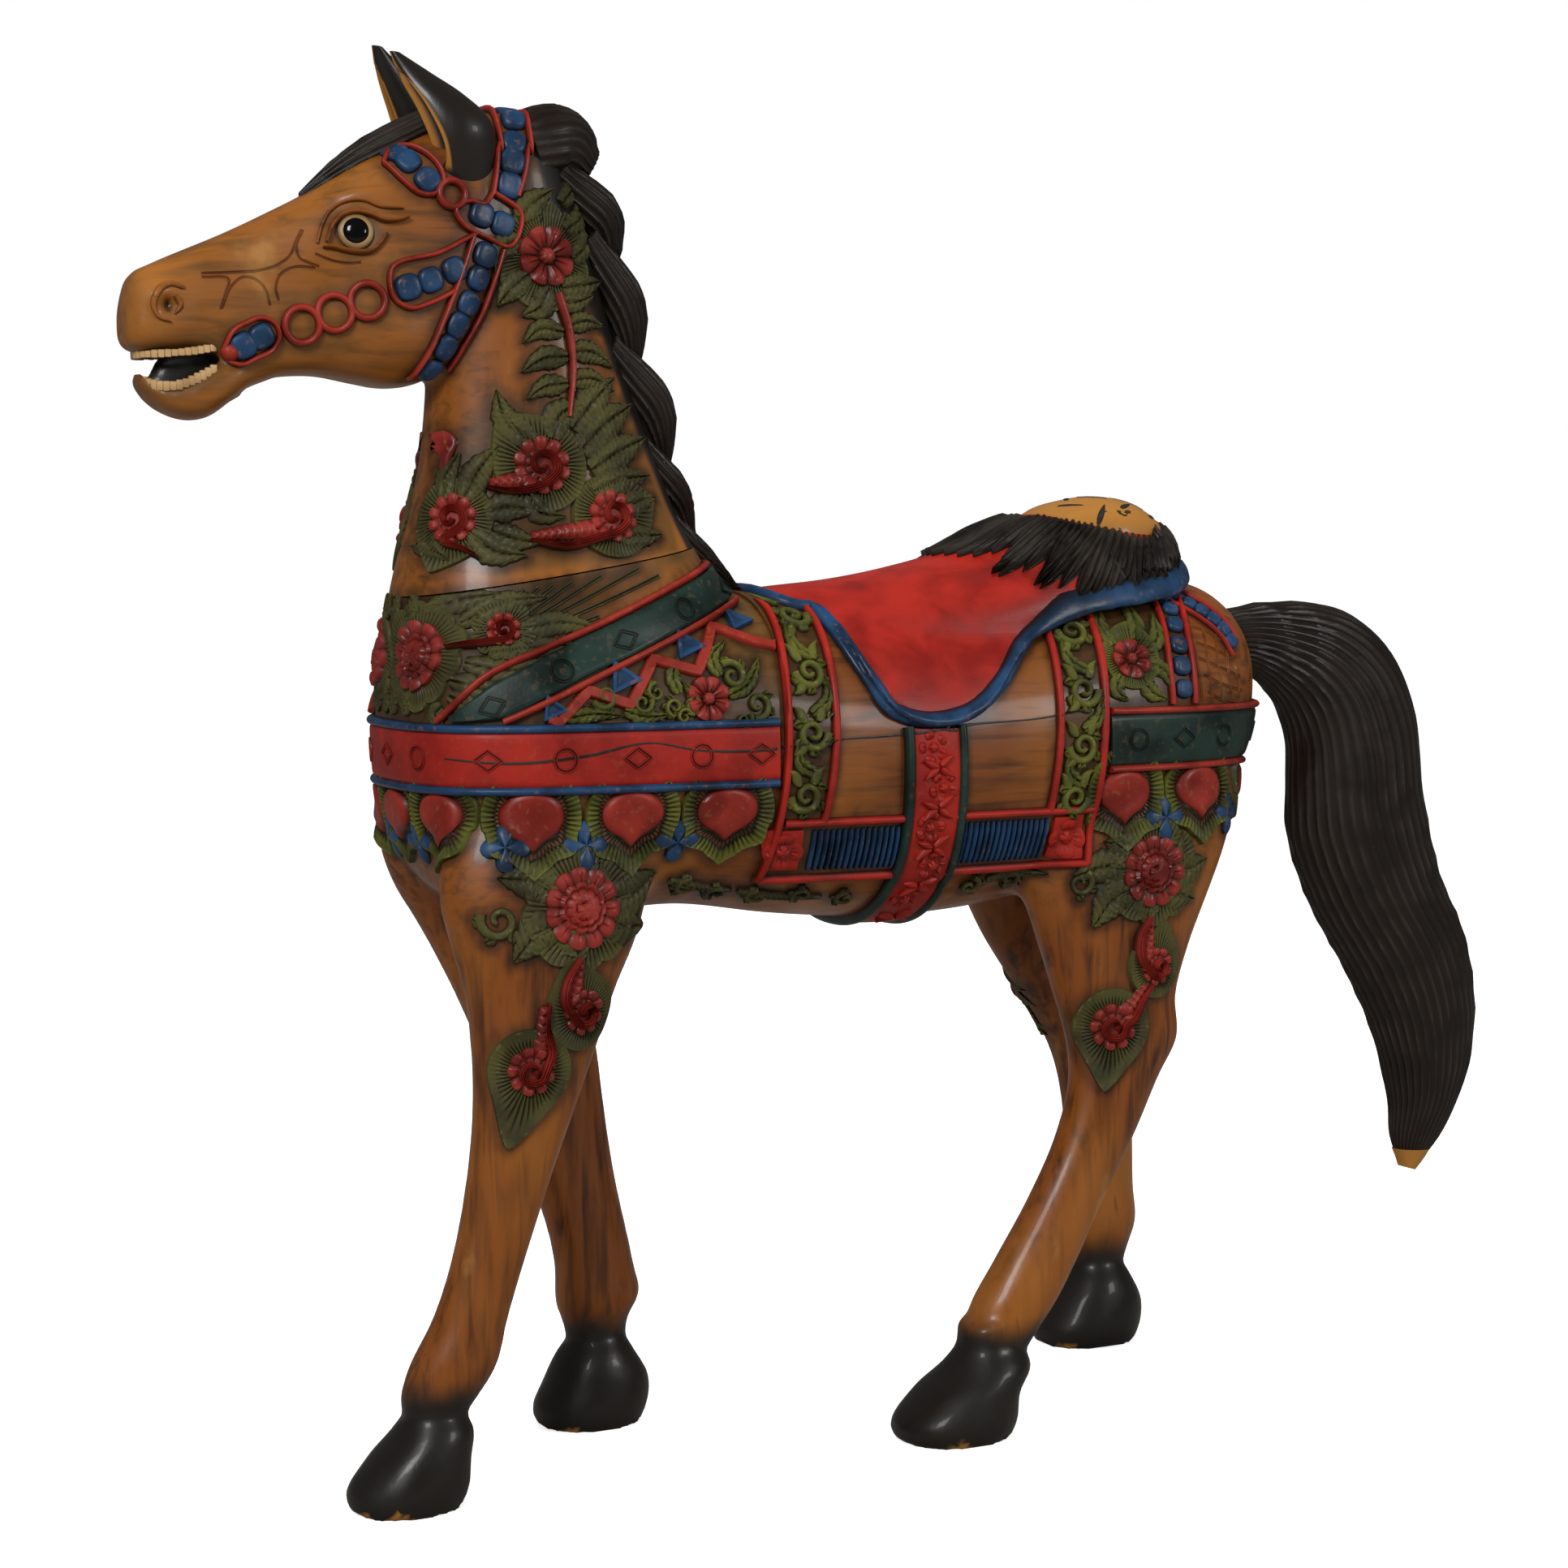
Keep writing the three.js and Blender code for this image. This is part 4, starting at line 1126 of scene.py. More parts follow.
rim = []
RIM = [
    (-4, 727), (3, 706), (12, 684), (22, 664), (36, 645), (56, 637), (86, 636), (112, 643), (146, 667),
    (173, 694), (206, 718), (249, 733), (304, 740), (352, 748), (384, 760),
]
POMMEL = [(-45, 90.5), (-44, 97), (-40, 104), (-33, 111), (-20, 117)]  # x, and degrees round the horse


def rim_width(t):
    """The rim swells at the pommel and towards the cantle."""
    return 14.5 - 4 * math.exp(-t / 0.05) + 8 * ease_in(t, 0.72, 0.9)


for side in SIDES:
    top = [over(saddled_wood, x, a, side=side) for x, a in POMMEL]
    strip(rim, saddled_wood, top + trace(saddled_wood, RIM, side, 5), rim_width, 10.5, domed, 13)
carve("saddle_rim", rim, BLUE, "body")

# -------------------- the fleece and the roll on the cantle
# Locks of black fleece sweep forward and down from under a roll of pale wood at the cantle, and end in
# ragged points over the red seat. The roll has a knob behind and a few dark dashes.

FLEECE = [  # each lock starts under the roll and ends over the seat: x, and degrees round the seat
    ((238, 90), (150, 90)),
    ((246, 97), (160, 104)),
    ((253, 100), (196, 110)),
    ((262, 102), (160, 119)),
    ((272, 104), (215, 120.5)),
    ((284, 106), (194, 126)),
    ((300, 107), (240, 127)),
    ((318, 108), (275, 126.5)),
    ((332, 109), (318, 124)),
    ((348, 108), (348, 122)),
    ((362, 104), (372, 120)),
    ((372, 98), (386, 112)),
    ((376, 90), (391, 95)),
]
ROLL = [
    [242, 803, 250, 770, 22],
    [260, 815, 260, 765, 47],
    [290, 824, 290, 762, 61],
    [325, 827, 325, 756, 65],
    [355, 820, 355, 752, 57],
    [376, 807, 376, 750, 39],
    [385, 790, 385, 758, 14],
]
KNOB = [[368, 797, 368, 780, 8], [378, 803, 378, 776, 14], [390, 803, 390, 776, 15], [398, 797, 398, 781, 9]]
seat_skin = surface(saddle)
fleece = []
keys = np.array([[*start, *end] for start, end in FLEECE])
strands = np.stack([np.interp(np.arange(0, 12.01, 0.4), np.arange(13), keys[:, k]) for k in range(4)], 1)


def comb(run, v, t):
    """Wavy furrows down a lock, which starts out from under the roll."""
    waves = np.abs(np.cos(1.5 * math.pi * v + 0.5 * math.sin(run / 17))) ** 2
    return -0.6 * waves - 1 + ease_in(t, 0, 0.1)


for side in SIDES:
    for k, (x1, a1, x2, a2) in enumerate(strands):
        if side == RIGHT and a1 < 90.5 and a2 < 90.5:
            continue
        places = []
        for t in np.linspace(0, 1, max(7, int(abs(x1 - x2) / 5))):
            x, a = x1 + (x2 - x1) * t**1.15, a1 + (a2 + (2.5 if x2 > 222 else 0) - a1) * t**0.8
            places.append(over(seat_skin, x - 6 * math.sin(math.pi * t), a, side=side))
        blunt = 4 if x2 < 222 else 16
        width = lambda t: 1.5 + 18 * (1 - t**blunt)
        strip(fleece, seat_skin, places, width, 6.5 + math.sin(k * 2.1), domed, 15, comb)
carve("fleece", fleece, BLACK, "body")
roll = new_piece("cantle_roll", [loft(ROLL, around=48, spacing=6), loft(KNOB, around=32, spacing=3)])
finish_wood(roll, bare=0.8, grime=0.25)
stands_for(roll, "body")
roll_skin = surface(roll)
dashes = []
DASHES = [
    (280, 97, 2), (298, 104, -3), (312, 93, 3), (330, 101, -2), (345, 95, 4), (318, 112, 3),
    (296, 88, -4), (340, 110, -2), (285, 108, 2), (330, 84, 3), (306, 76, -2), (350, 74, 3),
    (362, 100, -3),
]
for x, a, turn in DASHES:
    places = [over(roll_skin, x + 9 * t, a + turn * t) for t in np.linspace(-1, 1, 7)]
    strip(dashes, roll_skin, places, leaf_shape(4.5), 0.6, root=3)
carve("roll_dashes", dashes, BLACK, "body")

# -------------------- the mane, forelock and tail
# Hair is carved as thick overlapping locks with long gouged furrows, and painted black over the brown. The
# tail is plugged into the rump, hangs in a double curve and is rubbed bare at its tip.

LOCKS = [
    {"path": [(-249, 1110), (-222, 1118), (-186, 1100)], "widths": [66, 72, 40], "half": 44},
    {"path": [(-225, 1092), (-182, 1062), (-166, 1012)], "widths": [40, 46, 12], "half": 36},
    {"path": [(-198, 1040), (-160, 990), (-146, 925)], "widths": [36, 46, 12], "half": 34},
    {"path": [(-178, 950), (-134, 905), (-117, 842)], "widths": [36, 46, 12], "half": 33},
    {"path": [(-150, 868), (-114, 830), (-92, 790)], "widths": [34, 38, 14], "half": 30},
    {"path": [(-125, 808), (-88, 775), (-46, 742)], "widths": [30, 30, 10], "half": 26},
]


def furrows(count, depth, sway):
    """Gouged furrows round a lock; sway swings them from side to side down its length."""
    def groove(angle, half, t):
        swung = angle + sway * math.sin(5 * t)
        return -depth * np.abs(np.sin(count * swung / 2)) ** 0.6 * min(1, half / 14)
    return groove


def hair(rows, around, furrow, spacing=7):
    """A lock with furrows, and how deep each point lies in them, for the paint and its painted shade in the
    furrows.
    """
    rows = eased(rows, spacing)
    shells, crests = [], []
    for i, row in enumerate(rows):
        cut = lambda angle, half: furrow(angle, half, i / (len(rows) - 1))
        shells.append(ring(row, around, groove=cut))
        depth = cut(around_a_turn(around), row[4])
        crests.append(1 - np.clip(-depth / 3.2, 0, 1))
    points, faces = skin(shells)
    return points, faces, np.concatenate(crests)


def lock_rows(path, widths, half):
    """Stations of a lock that follows a path and thins at its end."""
    halves = (half, half, half * 0.35)
    ends = eased([[*place, wide, deep] for place, wide, deep in zip(path, widths, halves)], 5)
    way = np.gradient(ends[:, :2], axis=0)
    way /= np.linalg.norm(way, axis=1, keepdims=True)
    off = np.stack([-way[:, 1], way[:, 0]], 1) * ends[:, 2:3] / 2
    return np.hstack([ends[:, :2] + off, ends[:, :2] - off, ends[:, 3:4]])


mane = [hair(lock_rows(**lock), 132, furrows(22, 2.6, 0.12)) for lock in LOCKS]
FORELOCK = [
    [-318, 1150, -324, 1118, 24],
    [-355, 1134, -352, 1104, 26],
    [-392, 1113, -388, 1086, 20],
    [-418, 1092, -414, 1072, 13],
    [-440, 1070, -438, 1062, 4],
]
mane.append(hair(FORELOCK, 108, furrows(18, 1.8, 0.1)))
carve("mane_and_forelock", mane, BLACK, "neck_and_head")

TAIL = [
    [438, 712, 450, 664, 20],
    [470, 722, 482, 664, 27],
    [535, 729, 520, 642, 36],
    [596, 722, 540, 616, 43],
    [650, 690, 549, 585, 47],
    [686, 630, 549, 546, 50],
    [697, 555, 551, 500, 51],
    [720, 466, 578, 432, 50],
    [758, 390, 622, 362, 45],
    [772, 315, 653, 302, 37],
    [759, 240, 673, 232, 27],
    [735, 194, 675, 196, 18],
    [706, 163, 686, 168, 8],
]
carve("tail_hair", [hair(TAIL, 180, furrows(36, 3.0, 0.16), 9)], BLACK, "tail")
TIP = [[722, 181, 679, 184, 13.5], [714, 171, 683, 176, 11.5], [704, 161, 687, 166, 9]]
tip = new_piece("tail_tip", [loft(TIP, around=40, spacing=3)])
finish_wood(tip, upright=1.0, bare=0.85)
stands_for(tip, "tail")

# -------------------- the ears
# Two pricked ears cut from the head's own block, stained black outside and hollowed out in front. The rim
# of each hollow is rubbed to bare wood.

EAR = [
    [-330, 1076, -284, 1078, 12, 33],
    [-342, 1112, -290, 1130, 18, 40],
    [-352, 1138, -312, 1151, 15, 36],
    [-362, 1160, -336, 1167, 10, 29],
    [-369, 1184, -360, 1183, 4, 21],
]
ears, bare = [], []
for side in SIDES:
    rows = np.array(EAR, float)
    rows[:, 5] *= side
    if side == RIGHT:  # the right ear stands 10 mm higher
        rows[:, [1, 3]] += 10 * np.arange(len(EAR))[:, None] / 4
    rows = eased(rows, 3)
    shells, rims = [], []
    for k, row in enumerate(rows):
        t = k / (len(rows) - 1)

        def facing(angle):
            """How far round from the ear's opening, which faces forward and a little out."""
            return off_from(angle, side * 0.08)

        def hollow(angle, half):
            depth = (0.95 * half + 6) * np.exp(-((facing(angle) / 0.44) ** 4))
            return -depth * ease_in(t, 0.12, 0.3) * (1 - ease_in(t, 0.72, 0.9))

        shells.append(ring(row, 72, groove=hollow))
        away = facing(around_a_turn(72))
        lip = 0.52 * (1 - ease_in(t, 0.72, 0.95))
        outer = 1 - ease_in(away, lip + 0.2, lip + 0.26)
        rims.append(ease_in(away, lip - 0.1, lip) * outer * ease_in(t, 0.1, 0.16))
    ears.append(skin(shells))
    bare.append(np.concatenate(rims))
ear_piece = new_piece("ears", ears)
finish_wood(ear_piece, upright=1.0, soot=1 - np.concatenate(bare), bare=np.concatenate(bare) * 0.8)
stands_for(ear_piece, "neck_and_head")


# -------------------- the blanket and girth
# A raised blanket under the saddle: its field is bare wood, scrolls run down its front and rear borders
# between red fillets, and a blue fringe with red corner squares closes it below. A red girth with carved
# sprigs and bottle-green edges goes round the belly over it.

GIRTH = 74  # the x of its middle line
FOOT = 528  # height of the fringe's middle
BLANKET = [(-60, 760), (-64, 690), (-70, 600), (-80, 499), (238, 499), (247, 600), (254, 690), (259, 760)]
blanket = new_piece("blanket_wood", [loft(TRUNK, around=120, square=2.25, spacing=6, grow=2.5)])
blanket_edge = BLANKET + [(259, above_horse), (-60, above_horse)]
cut_with(blanket, block_across("blanket_outline", blanket_edge), "INTERSECT")
spots = points_of(blanket)
x, y, z = spots.T
slope = (690 - z) * 0.085
borders = np.maximum(1 - ease_in(x + slope, -20, -14), ease_in(x + slope * 0.6, 203, 209))
finish_wood(blanket, olive=borders * 0.75, grime=0.3 + borders * 0.25)
stands_for(blanket, "body")
trunk_wood = surface(body, blanket)

flutes = lambda run, v, t: -0.85 * np.abs(np.cos(math.pi * run / 5.6)) ** 2.5  # of the fringe
reds, blues, greens, bottles = [], [], [], []
for side in SIDES:
    fillets = [
        [(-52, 738), (-61, 690), (-67, 600), (-76, 503)],
        [(-12, 728), (-17, 690), (-23, 610), (-31, 553)],
        [(257, 744), (251, 690), (243, 600), (235, 503)],
        [(209, 712), (205, 680), (199, 610), (192, 553)],
    ]
    for path in fillets:
        lay(reds, trunk_wood, path, side, 6, 7.5, 5.5)
    for low, high in ((503, 76), (552, 66)):
        path = [(-high, low), (60, low), (235 if low < 520 else 238, low)]
        lay(reds, trunk_wood, path, side, 8, 7.5, 5.5)
    for x in (-64, 214):  # corner squares with a four-petalled flower
        square = [(x - 16, FOOT), (x, FOOT), (x + 16, FOOT)]
        strip(reds, trunk_wood, trace(trunk_wood, square, side, 4, straight=True), 40, 3.2, flat_topped, 13)
        at = spot_at(trunk_wood, x, FOOT, side, 45)
        disc(reds, trunk_wood, at, 18, 7, blossom(4, 0.32), petalled(4, 0.3), 48, 9)
    for left, right in ((-40, 50), (104, 192)):  # the fringe
        path = trace(trunk_wood, [(left, FOOT - 1), (right, FOOT - 1)], side, 0.9, straight=True)
        strip(blues, trunk_wood, path, 40, 5.0, flat_topped, 7, flutes)
    front = [(-34, 722), (-40, 677), (-44, 627), (-50, 575)]
    rear = [(231, 706), (227, 656), (222, 608), (216, 563)]
    for column, flip in ((front, 1), (rear, -1)):
        for k, (x, z) in enumerate(column):
            hand = flip * (1 if k % 2 else -1)
            at = spot_at(trunk_wood, x, z, side)
            scroll(greens, trunk_wood, at, 14.5, hand, start=90 * hand + 90, turns=1.4, lobes=4, rise=6)
            lean = hand * flip
            stem = [(x - 4 * lean, z - 34), (x + 12 * lean, z - 24), (x + 15 * lean, z - 6)]
            if k < 3:
                leaf(greens, trunk_wood, trace(trunk_wood, stem, side, 3), 14, 5.5, 3)
            for dx, dz in ((-15, 20), (14, 22), (-16, -16))[: 3 if k < 3 else 2]:
                tip = [(x + dx * a, z + dz * b) for a, b in ((0.45, 0.45), (0.8, 0.95), (1.1, 1.1))]
                lay(greens, trunk_wood, tip, side, 2.5, leaf_shape(9), 5, domed, 9)

middle = [over(trunk_wood, GIRTH, a) for a in np.linspace(173, 367, 110)]
strip(reds, trunk_wood, middle, 46, 6, flat_topped, 21)
for shift in (-26, 26):
    edge = [over(trunk_wood, GIRTH + shift, a) for a in np.linspace(172, 368, 120)]
    strip(bottles, trunk_wood, edge, 9, 8.5, domed, 9)
for side in SIDES:
    for k, z in enumerate((612, 578, 545, 512, 482)):
        at = spot_at(trunk_wood, GIRTH + (5 if k % 2 else -5), z, side, 20 * k)
        disc(reds, trunk_wood, at, 14, 11, blossom(5, 0.34), petalled(5, 0.25), 50, 9)
        for turn in (40, 160, 215, 330):
            way = way_of(turn)
            sprig = [way * (2 + 15 * t) for t in np.linspace(0, 1, 7)]
            places = sketch(trunk_wood, spot_at(trunk_wood, GIRTH, z - 17, side), sprig)
            strip(reds, trunk_wood, places, leaf_shape(8), 10, domed, 9)
carve("blanket_and_girth_red", reds, RED, "body")
carve("blanket_fringe", blues, BLUE, "body")
carve("blanket_scrolls", greens, GREEN, "body")
carve("girth_edges", bottles, BOTTLE, "body")

# -------------------- the chest and rump bands and the straps
# A red band edged in blue goes round the chest, a bottle-green one edged in red round the rump, and a
# bottle-green strap slants up each shoulder to the withers. Circles and diamonds are scored in them.

BAND, BAND_EDGES = 612, (587, 637)  # heights of the bands' middle and edges
CHEST, RUMP_END = -250, 330  # where the horse starts to round off, before and behind
reds, bricks, blues, bottles = [], [], [], []


def girdle(wood, z, start, pivot):
    """Places on a level line round the front or the back of the horse, from left to right."""
    turn = np.linspace(-90, 90, 46) if start < pivot else np.linspace(-90, -270, 46)
    count = max(2, int(abs(pivot - start) / 7))
    flank = [beside(wood, x, z, LEFT) for x in np.linspace(start, pivot, count, endpoint=False)]
    bend = [round_about(wood, pivot, z, angle) for angle in turn]
    return flank + bend + [beside(wood, x, z, RIGHT) for x in np.linspace(pivot, start, count)]


strip(reds, trunk_wood, girdle(trunk_wood, BAND, -74, CHEST), 44, 5, flat_topped, 19)
for z in BAND_EDGES:
    strip(blues, trunk_wood, girdle(trunk_wood, z, -74, CHEST), 8, 7.5, domed, 9)
strip(bottles, trunk_wood, girdle(trunk_wood, BAND, 252, RUMP_END), 44, 5, flat_topped, 19)
for z in BAND_EDGES:
    strip(bricks, trunk_wood, girdle(trunk_wood, z, 252, RUMP_END), 7, 7.5, domed, 9)

STRAP = [(-345, 645), (-321, 656), (-263, 684), (-204, 708), (-143, 732), (-86, 752)]
wedge = lambda t: 5 + 25 * min(1, t / 0.13)
for side in SIDES:
    lay(bottles, trunk_wood, STRAP, side, 6, wedge, 6, flat_topped, 15)
    upper = [(-352, 643), (-341, 659)] + [(x - 7, z + 17) for x, z in STRAP[1:]]
    lower = [(-311, 643)] + [(x + 7, z - 17) for x, z in STRAP[2:]]
    for edge in (upper, lower):
        lay(bricks, trunk_wood, edge, side, 5, 6.6, 7.5, domed, 9)
carve("bands_red", reds, RED, "body")
carve("strap_edges", bricks, BRICK, "body")
carve("chest_band_edges", blues, BLUE, "body")
carve("bands_bottle_green", bottles, BOTTLE, "body")
banded = surface(body, blanket, *[o for o in bpy.data.objects if o.name.startswith("bands_")])
red_marks, green_marks = [], []
for side in SIDES:
    for k, x in enumerate((-325, -265, -203, -146, -92)):
        mark(red_marks, banded, spot_at(banded, x, BAND, side), "circle" if k % 2 else "diamond")
    for k, x in enumerate((281, 331, 381)):
        mark(green_marks, banded, spot_at(banded, x, BAND, side), "diamond" if k % 2 else "circle")
    for k, (x, z) in enumerate(STRAP[1:]):
        at = spot_at(banded, x + (6 if k == 4 else 0), z - (2 if k == 4 else 0), side, 22)
        mark(green_marks, banded, at, "circle" if k % 2 else "diamond")
for degrees in (-154, 180, 154):
    at = spot(round_about(banded, CHEST, BAND, degrees))
    mark(red_marks, banded, at, "diamond" if degrees == 180 else "circle")
for degrees in (-38, 0, 38):
    at = spot(round_about(banded, RUMP_END, BAND, degrees))
    mark(green_marks, banded, at, "diamond" if degrees else "circle")
carve("marks_in_red_band", red_marks, RED, "body")
carve("marks_in_green_bands", green_marks, BOTTLE, "body")

# -------------------- the shoulder and breast
# Between strap and band a red zigzag with blue triangles over scrollwork; in front of the strap a flower on
# each side of the breast among long olive fronds.

reds, roses, greens, blues, mosses = [], [], [], [], []


def triangle(angle):
    """Three straight sides, with a corner straight down."""
    third = 2 * math.pi / 3
    return 0.5 / np.cos((angle + math.pi / 2 + third / 2) % third - third / 2)


peak = lambda out, angle: 0.5 + 0.5 * ease_in(np.array(out), 0.45, 0.6)
ZIGZAG = [
    (-276, 646), (-269, 642), (-241, 667), (-206, 655), (-181, 691), (-143, 680), (-119, 716), (-83, 703),
    (-64, 699),
]
for side in SIDES:
    strip(reds, trunk_wood, trace(trunk_wood, ZIGZAG, side, 3, straight=True), 9.5, 4.5, flat_topped, 9)
    for x, z, radius in ((-273, 653, 13), (-211, 676, 17), (-148, 701, 17), (-92, 720, 16)):
        at = facing_tail(spot_at(trunk_wood, x, z, side))
        at = (*at[:2], at[2] * 0.92 + at[3] * 0.38, at[3] * 0.92 - at[2] * 0.38)
        disc(blues, trunk_wood, at, radius, 5, peak, triangle, 48, 7)
    flower(roses, trunk_wood, spot_at(trunk_wood, -137, 658, side), 19, 8)
    for x, z, radius, hand, start in (
        (-228, 662, 11, 1, 200), (-196, 656, 9, -1, 20), (-183, 664, 8, 1, 90), (-168, 652, 8, -1, 260),
        (-112, 676, 13, -1, 130), (-92, 652, 12, 1, 250), (-106, 640, 8, -1, 40), (-160, 644, 7, 1, 10),
    ):
        scroll(greens, trunk_wood, spot_at(trunk_wood, x, z, side), radius, hand, start)
    paths = [
        [(-262, 645), (-240, 648), (-214, 646)], [(-212, 650), (-194, 645), (-172, 646)],
        [(-163, 663), (-166, 678), (-158, 692)], [(-118, 660), (-100, 668), (-84, 690)],
        [(-124, 676), (-128, 690), (-112, 704)], [(-154, 645), (-150, 660), (-158, 672)],
    ]
    leaves(greens, trunk_wood, paths, side, 15, 5, 4, 4)
    at = spot(round_about(trunk_wood, CHEST, 694, side * 158), turn=10)
    disc(mosses, trunk_wood, at, 46, 3, rayed(64, 0.92), petalled(10, 0.1), 190, 7)
    flower(roses, trunk_wood, at, 29, 10, rosette, 9)
    at = facing_tail(spot_at(trunk_wood, -301, 716, side))
    disc(mosses, trunk_wood, at, 27, 3.5, rayed(44, 0.86), petalled(12, 0.16), 132, 6)
    spiral_flower(roses, trunk_wood, at, 14, [(-46, -14), (-26, -13), (-8, -11)], -70, 1, 8, 6.5, 0)
    fronds = [
        [(-330, 722), (-300, 738), (-262, 743)], [(-290, 716), (-256, 722), (-222, 716)],
        [(-316, 698), (-282, 702), (-240, 704)], [(-334, 690), (-304, 684), (-262, 694)],
        [(-344, 676), (-318, 668), (-292, 674)], [(-346, 664), (-330, 652), (-318, 648)],
        [(-350, 733), (-330, 741), (-300, 746)], [(-350, 655), (-354, 648), (-350, 641)],
    ]
    leaves(mosses, trunk_wood, fronds, side, 23, 3.2, 9, 4.2)
for degrees in (-166, -178, 178, 166):
    for z, rise in ((648, 12), (662, -8), (726, 10), (740, -10)):
        lean = 6 if degrees < 0 else -6
        steps = np.linspace(0, 1, 8)
        places = [round_about(trunk_wood, CHEST, z + rise * t, degrees + lean * t) for t in steps]
        leaf(mosses, trunk_wood, places, 16, 3.5, 5, 4)
# heights in the side view of the strap's middle and of the neck's joint
strap_middle = lambda x: 684 + (x + 263) * 0.41
joint_height = lambda x: 736 + (x + 368) * 0.158
ferns = []
for side in SIDES:
    for degrees in np.arange(-34, 66, 4.2):
        way = way_of(degrees)
        row = [np.array([-334, 694]) + way * r for r in range(26, 190, 5)]
        row = [(x, z) for x, z in row if strap_middle(x) + 26 < z < joint_height(x) and x < -150]
        if len(row) > 3:
            lay(ferns, trunk_wood, row, side, 4, 3.6, 1.6, cut_in, 9, root=3)
carve("breast_gouges", ferns, MOSS, "body")
carve("breast_leaves", mosses, MOSS, "body")
carve("zigzag", reds, BRICK, "body")
carve("shoulder_flowers", roses, ROSE, "body")
carve("shoulder_leaves", greens, GREEN, "body")
carve("zigzag_triangles", blues, BLUE, "body")

# -------------------- the lappets under the bands
# A row of pointed lappets hangs below the chest and rump bands: a red onion in a gouged olive frame, with a
# blue lily in each gap.

LAPPETS, LILIES = 566, 541  # heights of their middles
reds, greens, blues = [], [], []


def below(angle):
    """How far round from straight down."""
    return off_from(angle, -math.pi / 2)


def onion(angle):
    """A flattened round drawn out to a point straight down."""
    wide = 1 / np.sqrt(np.cos(angle) ** 2 + (np.sin(angle) / 0.74) ** 2)
    return wide * (1 + 0.42 * np.exp(-((below(angle) / 0.26) ** 1.2)))


def frame_edge(angle):
    """The frame runs straight down its sides, steps in at two lobes and ends in a short point."""
    off = below(angle)
    point = 0.16 * np.exp(-((off / 0.3) ** 2)) + 0.14 * np.exp(-((off / 0.12) ** 1.3))
    lobes = 0.12 * np.exp(-(((off - 0.85) / 0.3) ** 2))
    return 1.0 + point + lobes - 0.05 * np.abs(np.cos(5.5 * off)) * (off < 1.3)


def lily(angle):
    """Four pointed petals, one straight down."""
    return 0.56 + 0.44 * np.abs(np.cos(2 * below(angle)))


def lily_top(out, angle):
    """The petals are parted by creases and fall off at their rims."""
    return 0.95 - 0.5 * np.abs(np.sin(2 * below(angle))) ** 6 - 0.4 * out**6


def framed(out, angle):
    """A deep groove round the onion, then gouged rays that end at a smooth rim."""
    rays = 0.5 * np.abs(np.cos(27 * angle)) ** 3 * (0.66 < out < 0.9)
    return 0.74 - rays - 0.6 * (0.55 < out < 0.72) + 0.24 * ease_in(np.array(out), 0.86, 0.92)


def lappet(at, size):
    """An onion in its frame."""
    disc(greens, trunk_wood, at, 41 * size, 5, framed, frame_edge, 168, 10)
    puffed = lambda out, angle: 0.45 + 0.55 * math.sqrt(1 - out**8)
    disc(reds, trunk_wood, at, 27 * size, 6.5, puffed, onion, 60, 7)


places = []
for side in SIDES:
    places += [beside(trunk_wood, x, LAPPETS, side) for x in (-290, -204, -119)]
    places.append(round_about(trunk_wood, CHEST, LAPPETS, side * 145))
    places += [beside(trunk_wood, x, LAPPETS, side) for x in (270, 354)]
    places.append(round_about(trunk_wood, RUMP_END, LAPPETS, side * 38))
places.append(round_about(trunk_wood, CHEST, LAPPETS, 180))
for place in places:
    lappet(spot(place), 0.92 if abs(place[1].x) > 0.5 else 1.0)
gaps = []
for side in SIDES:
    gaps += [beside(trunk_wood, x, LILIES, side) for x in (-247, -161, 312)]
    gaps += [round_about(trunk_wood, CHEST, LILIES, side * turn) for turn in (118, 163)]
    gaps.append(round_about(trunk_wood, RUMP_END, LILIES, side * 62))
for place in gaps:
    disc(blues, trunk_wood, spot(place), 20, 5, lily_top, lily, 64, 7)
carve("lappets_red", reds, BRICK, "body")
carve("lappet_frames", greens, GREEN, "body")
carve("lilies", blues, BLUE, "body")

# -------------------- rosettes, belly scrolls and leg flowers
# A big rosette among olive leaves on each shoulder and haunch, scrolls along the belly, and on each leg two
# spiral flowers whose fluted tails run up into each other, with pointed leaves under them.

roses, greens = [], []


def leg_step(leg, z):
    """How far the right leg's middle stands behind the left one's at a height."""
    middles = []
    for side in ("left", "right"):
        x1, z1, x2, z2 = np.array(LEGS[f"{leg}_{side}"])[:, :4].T
        middles.append(np.interp(-z, -(z1 + z2) / 2, (x1 + x2) / 2))
    return middles[1] - middles[0]


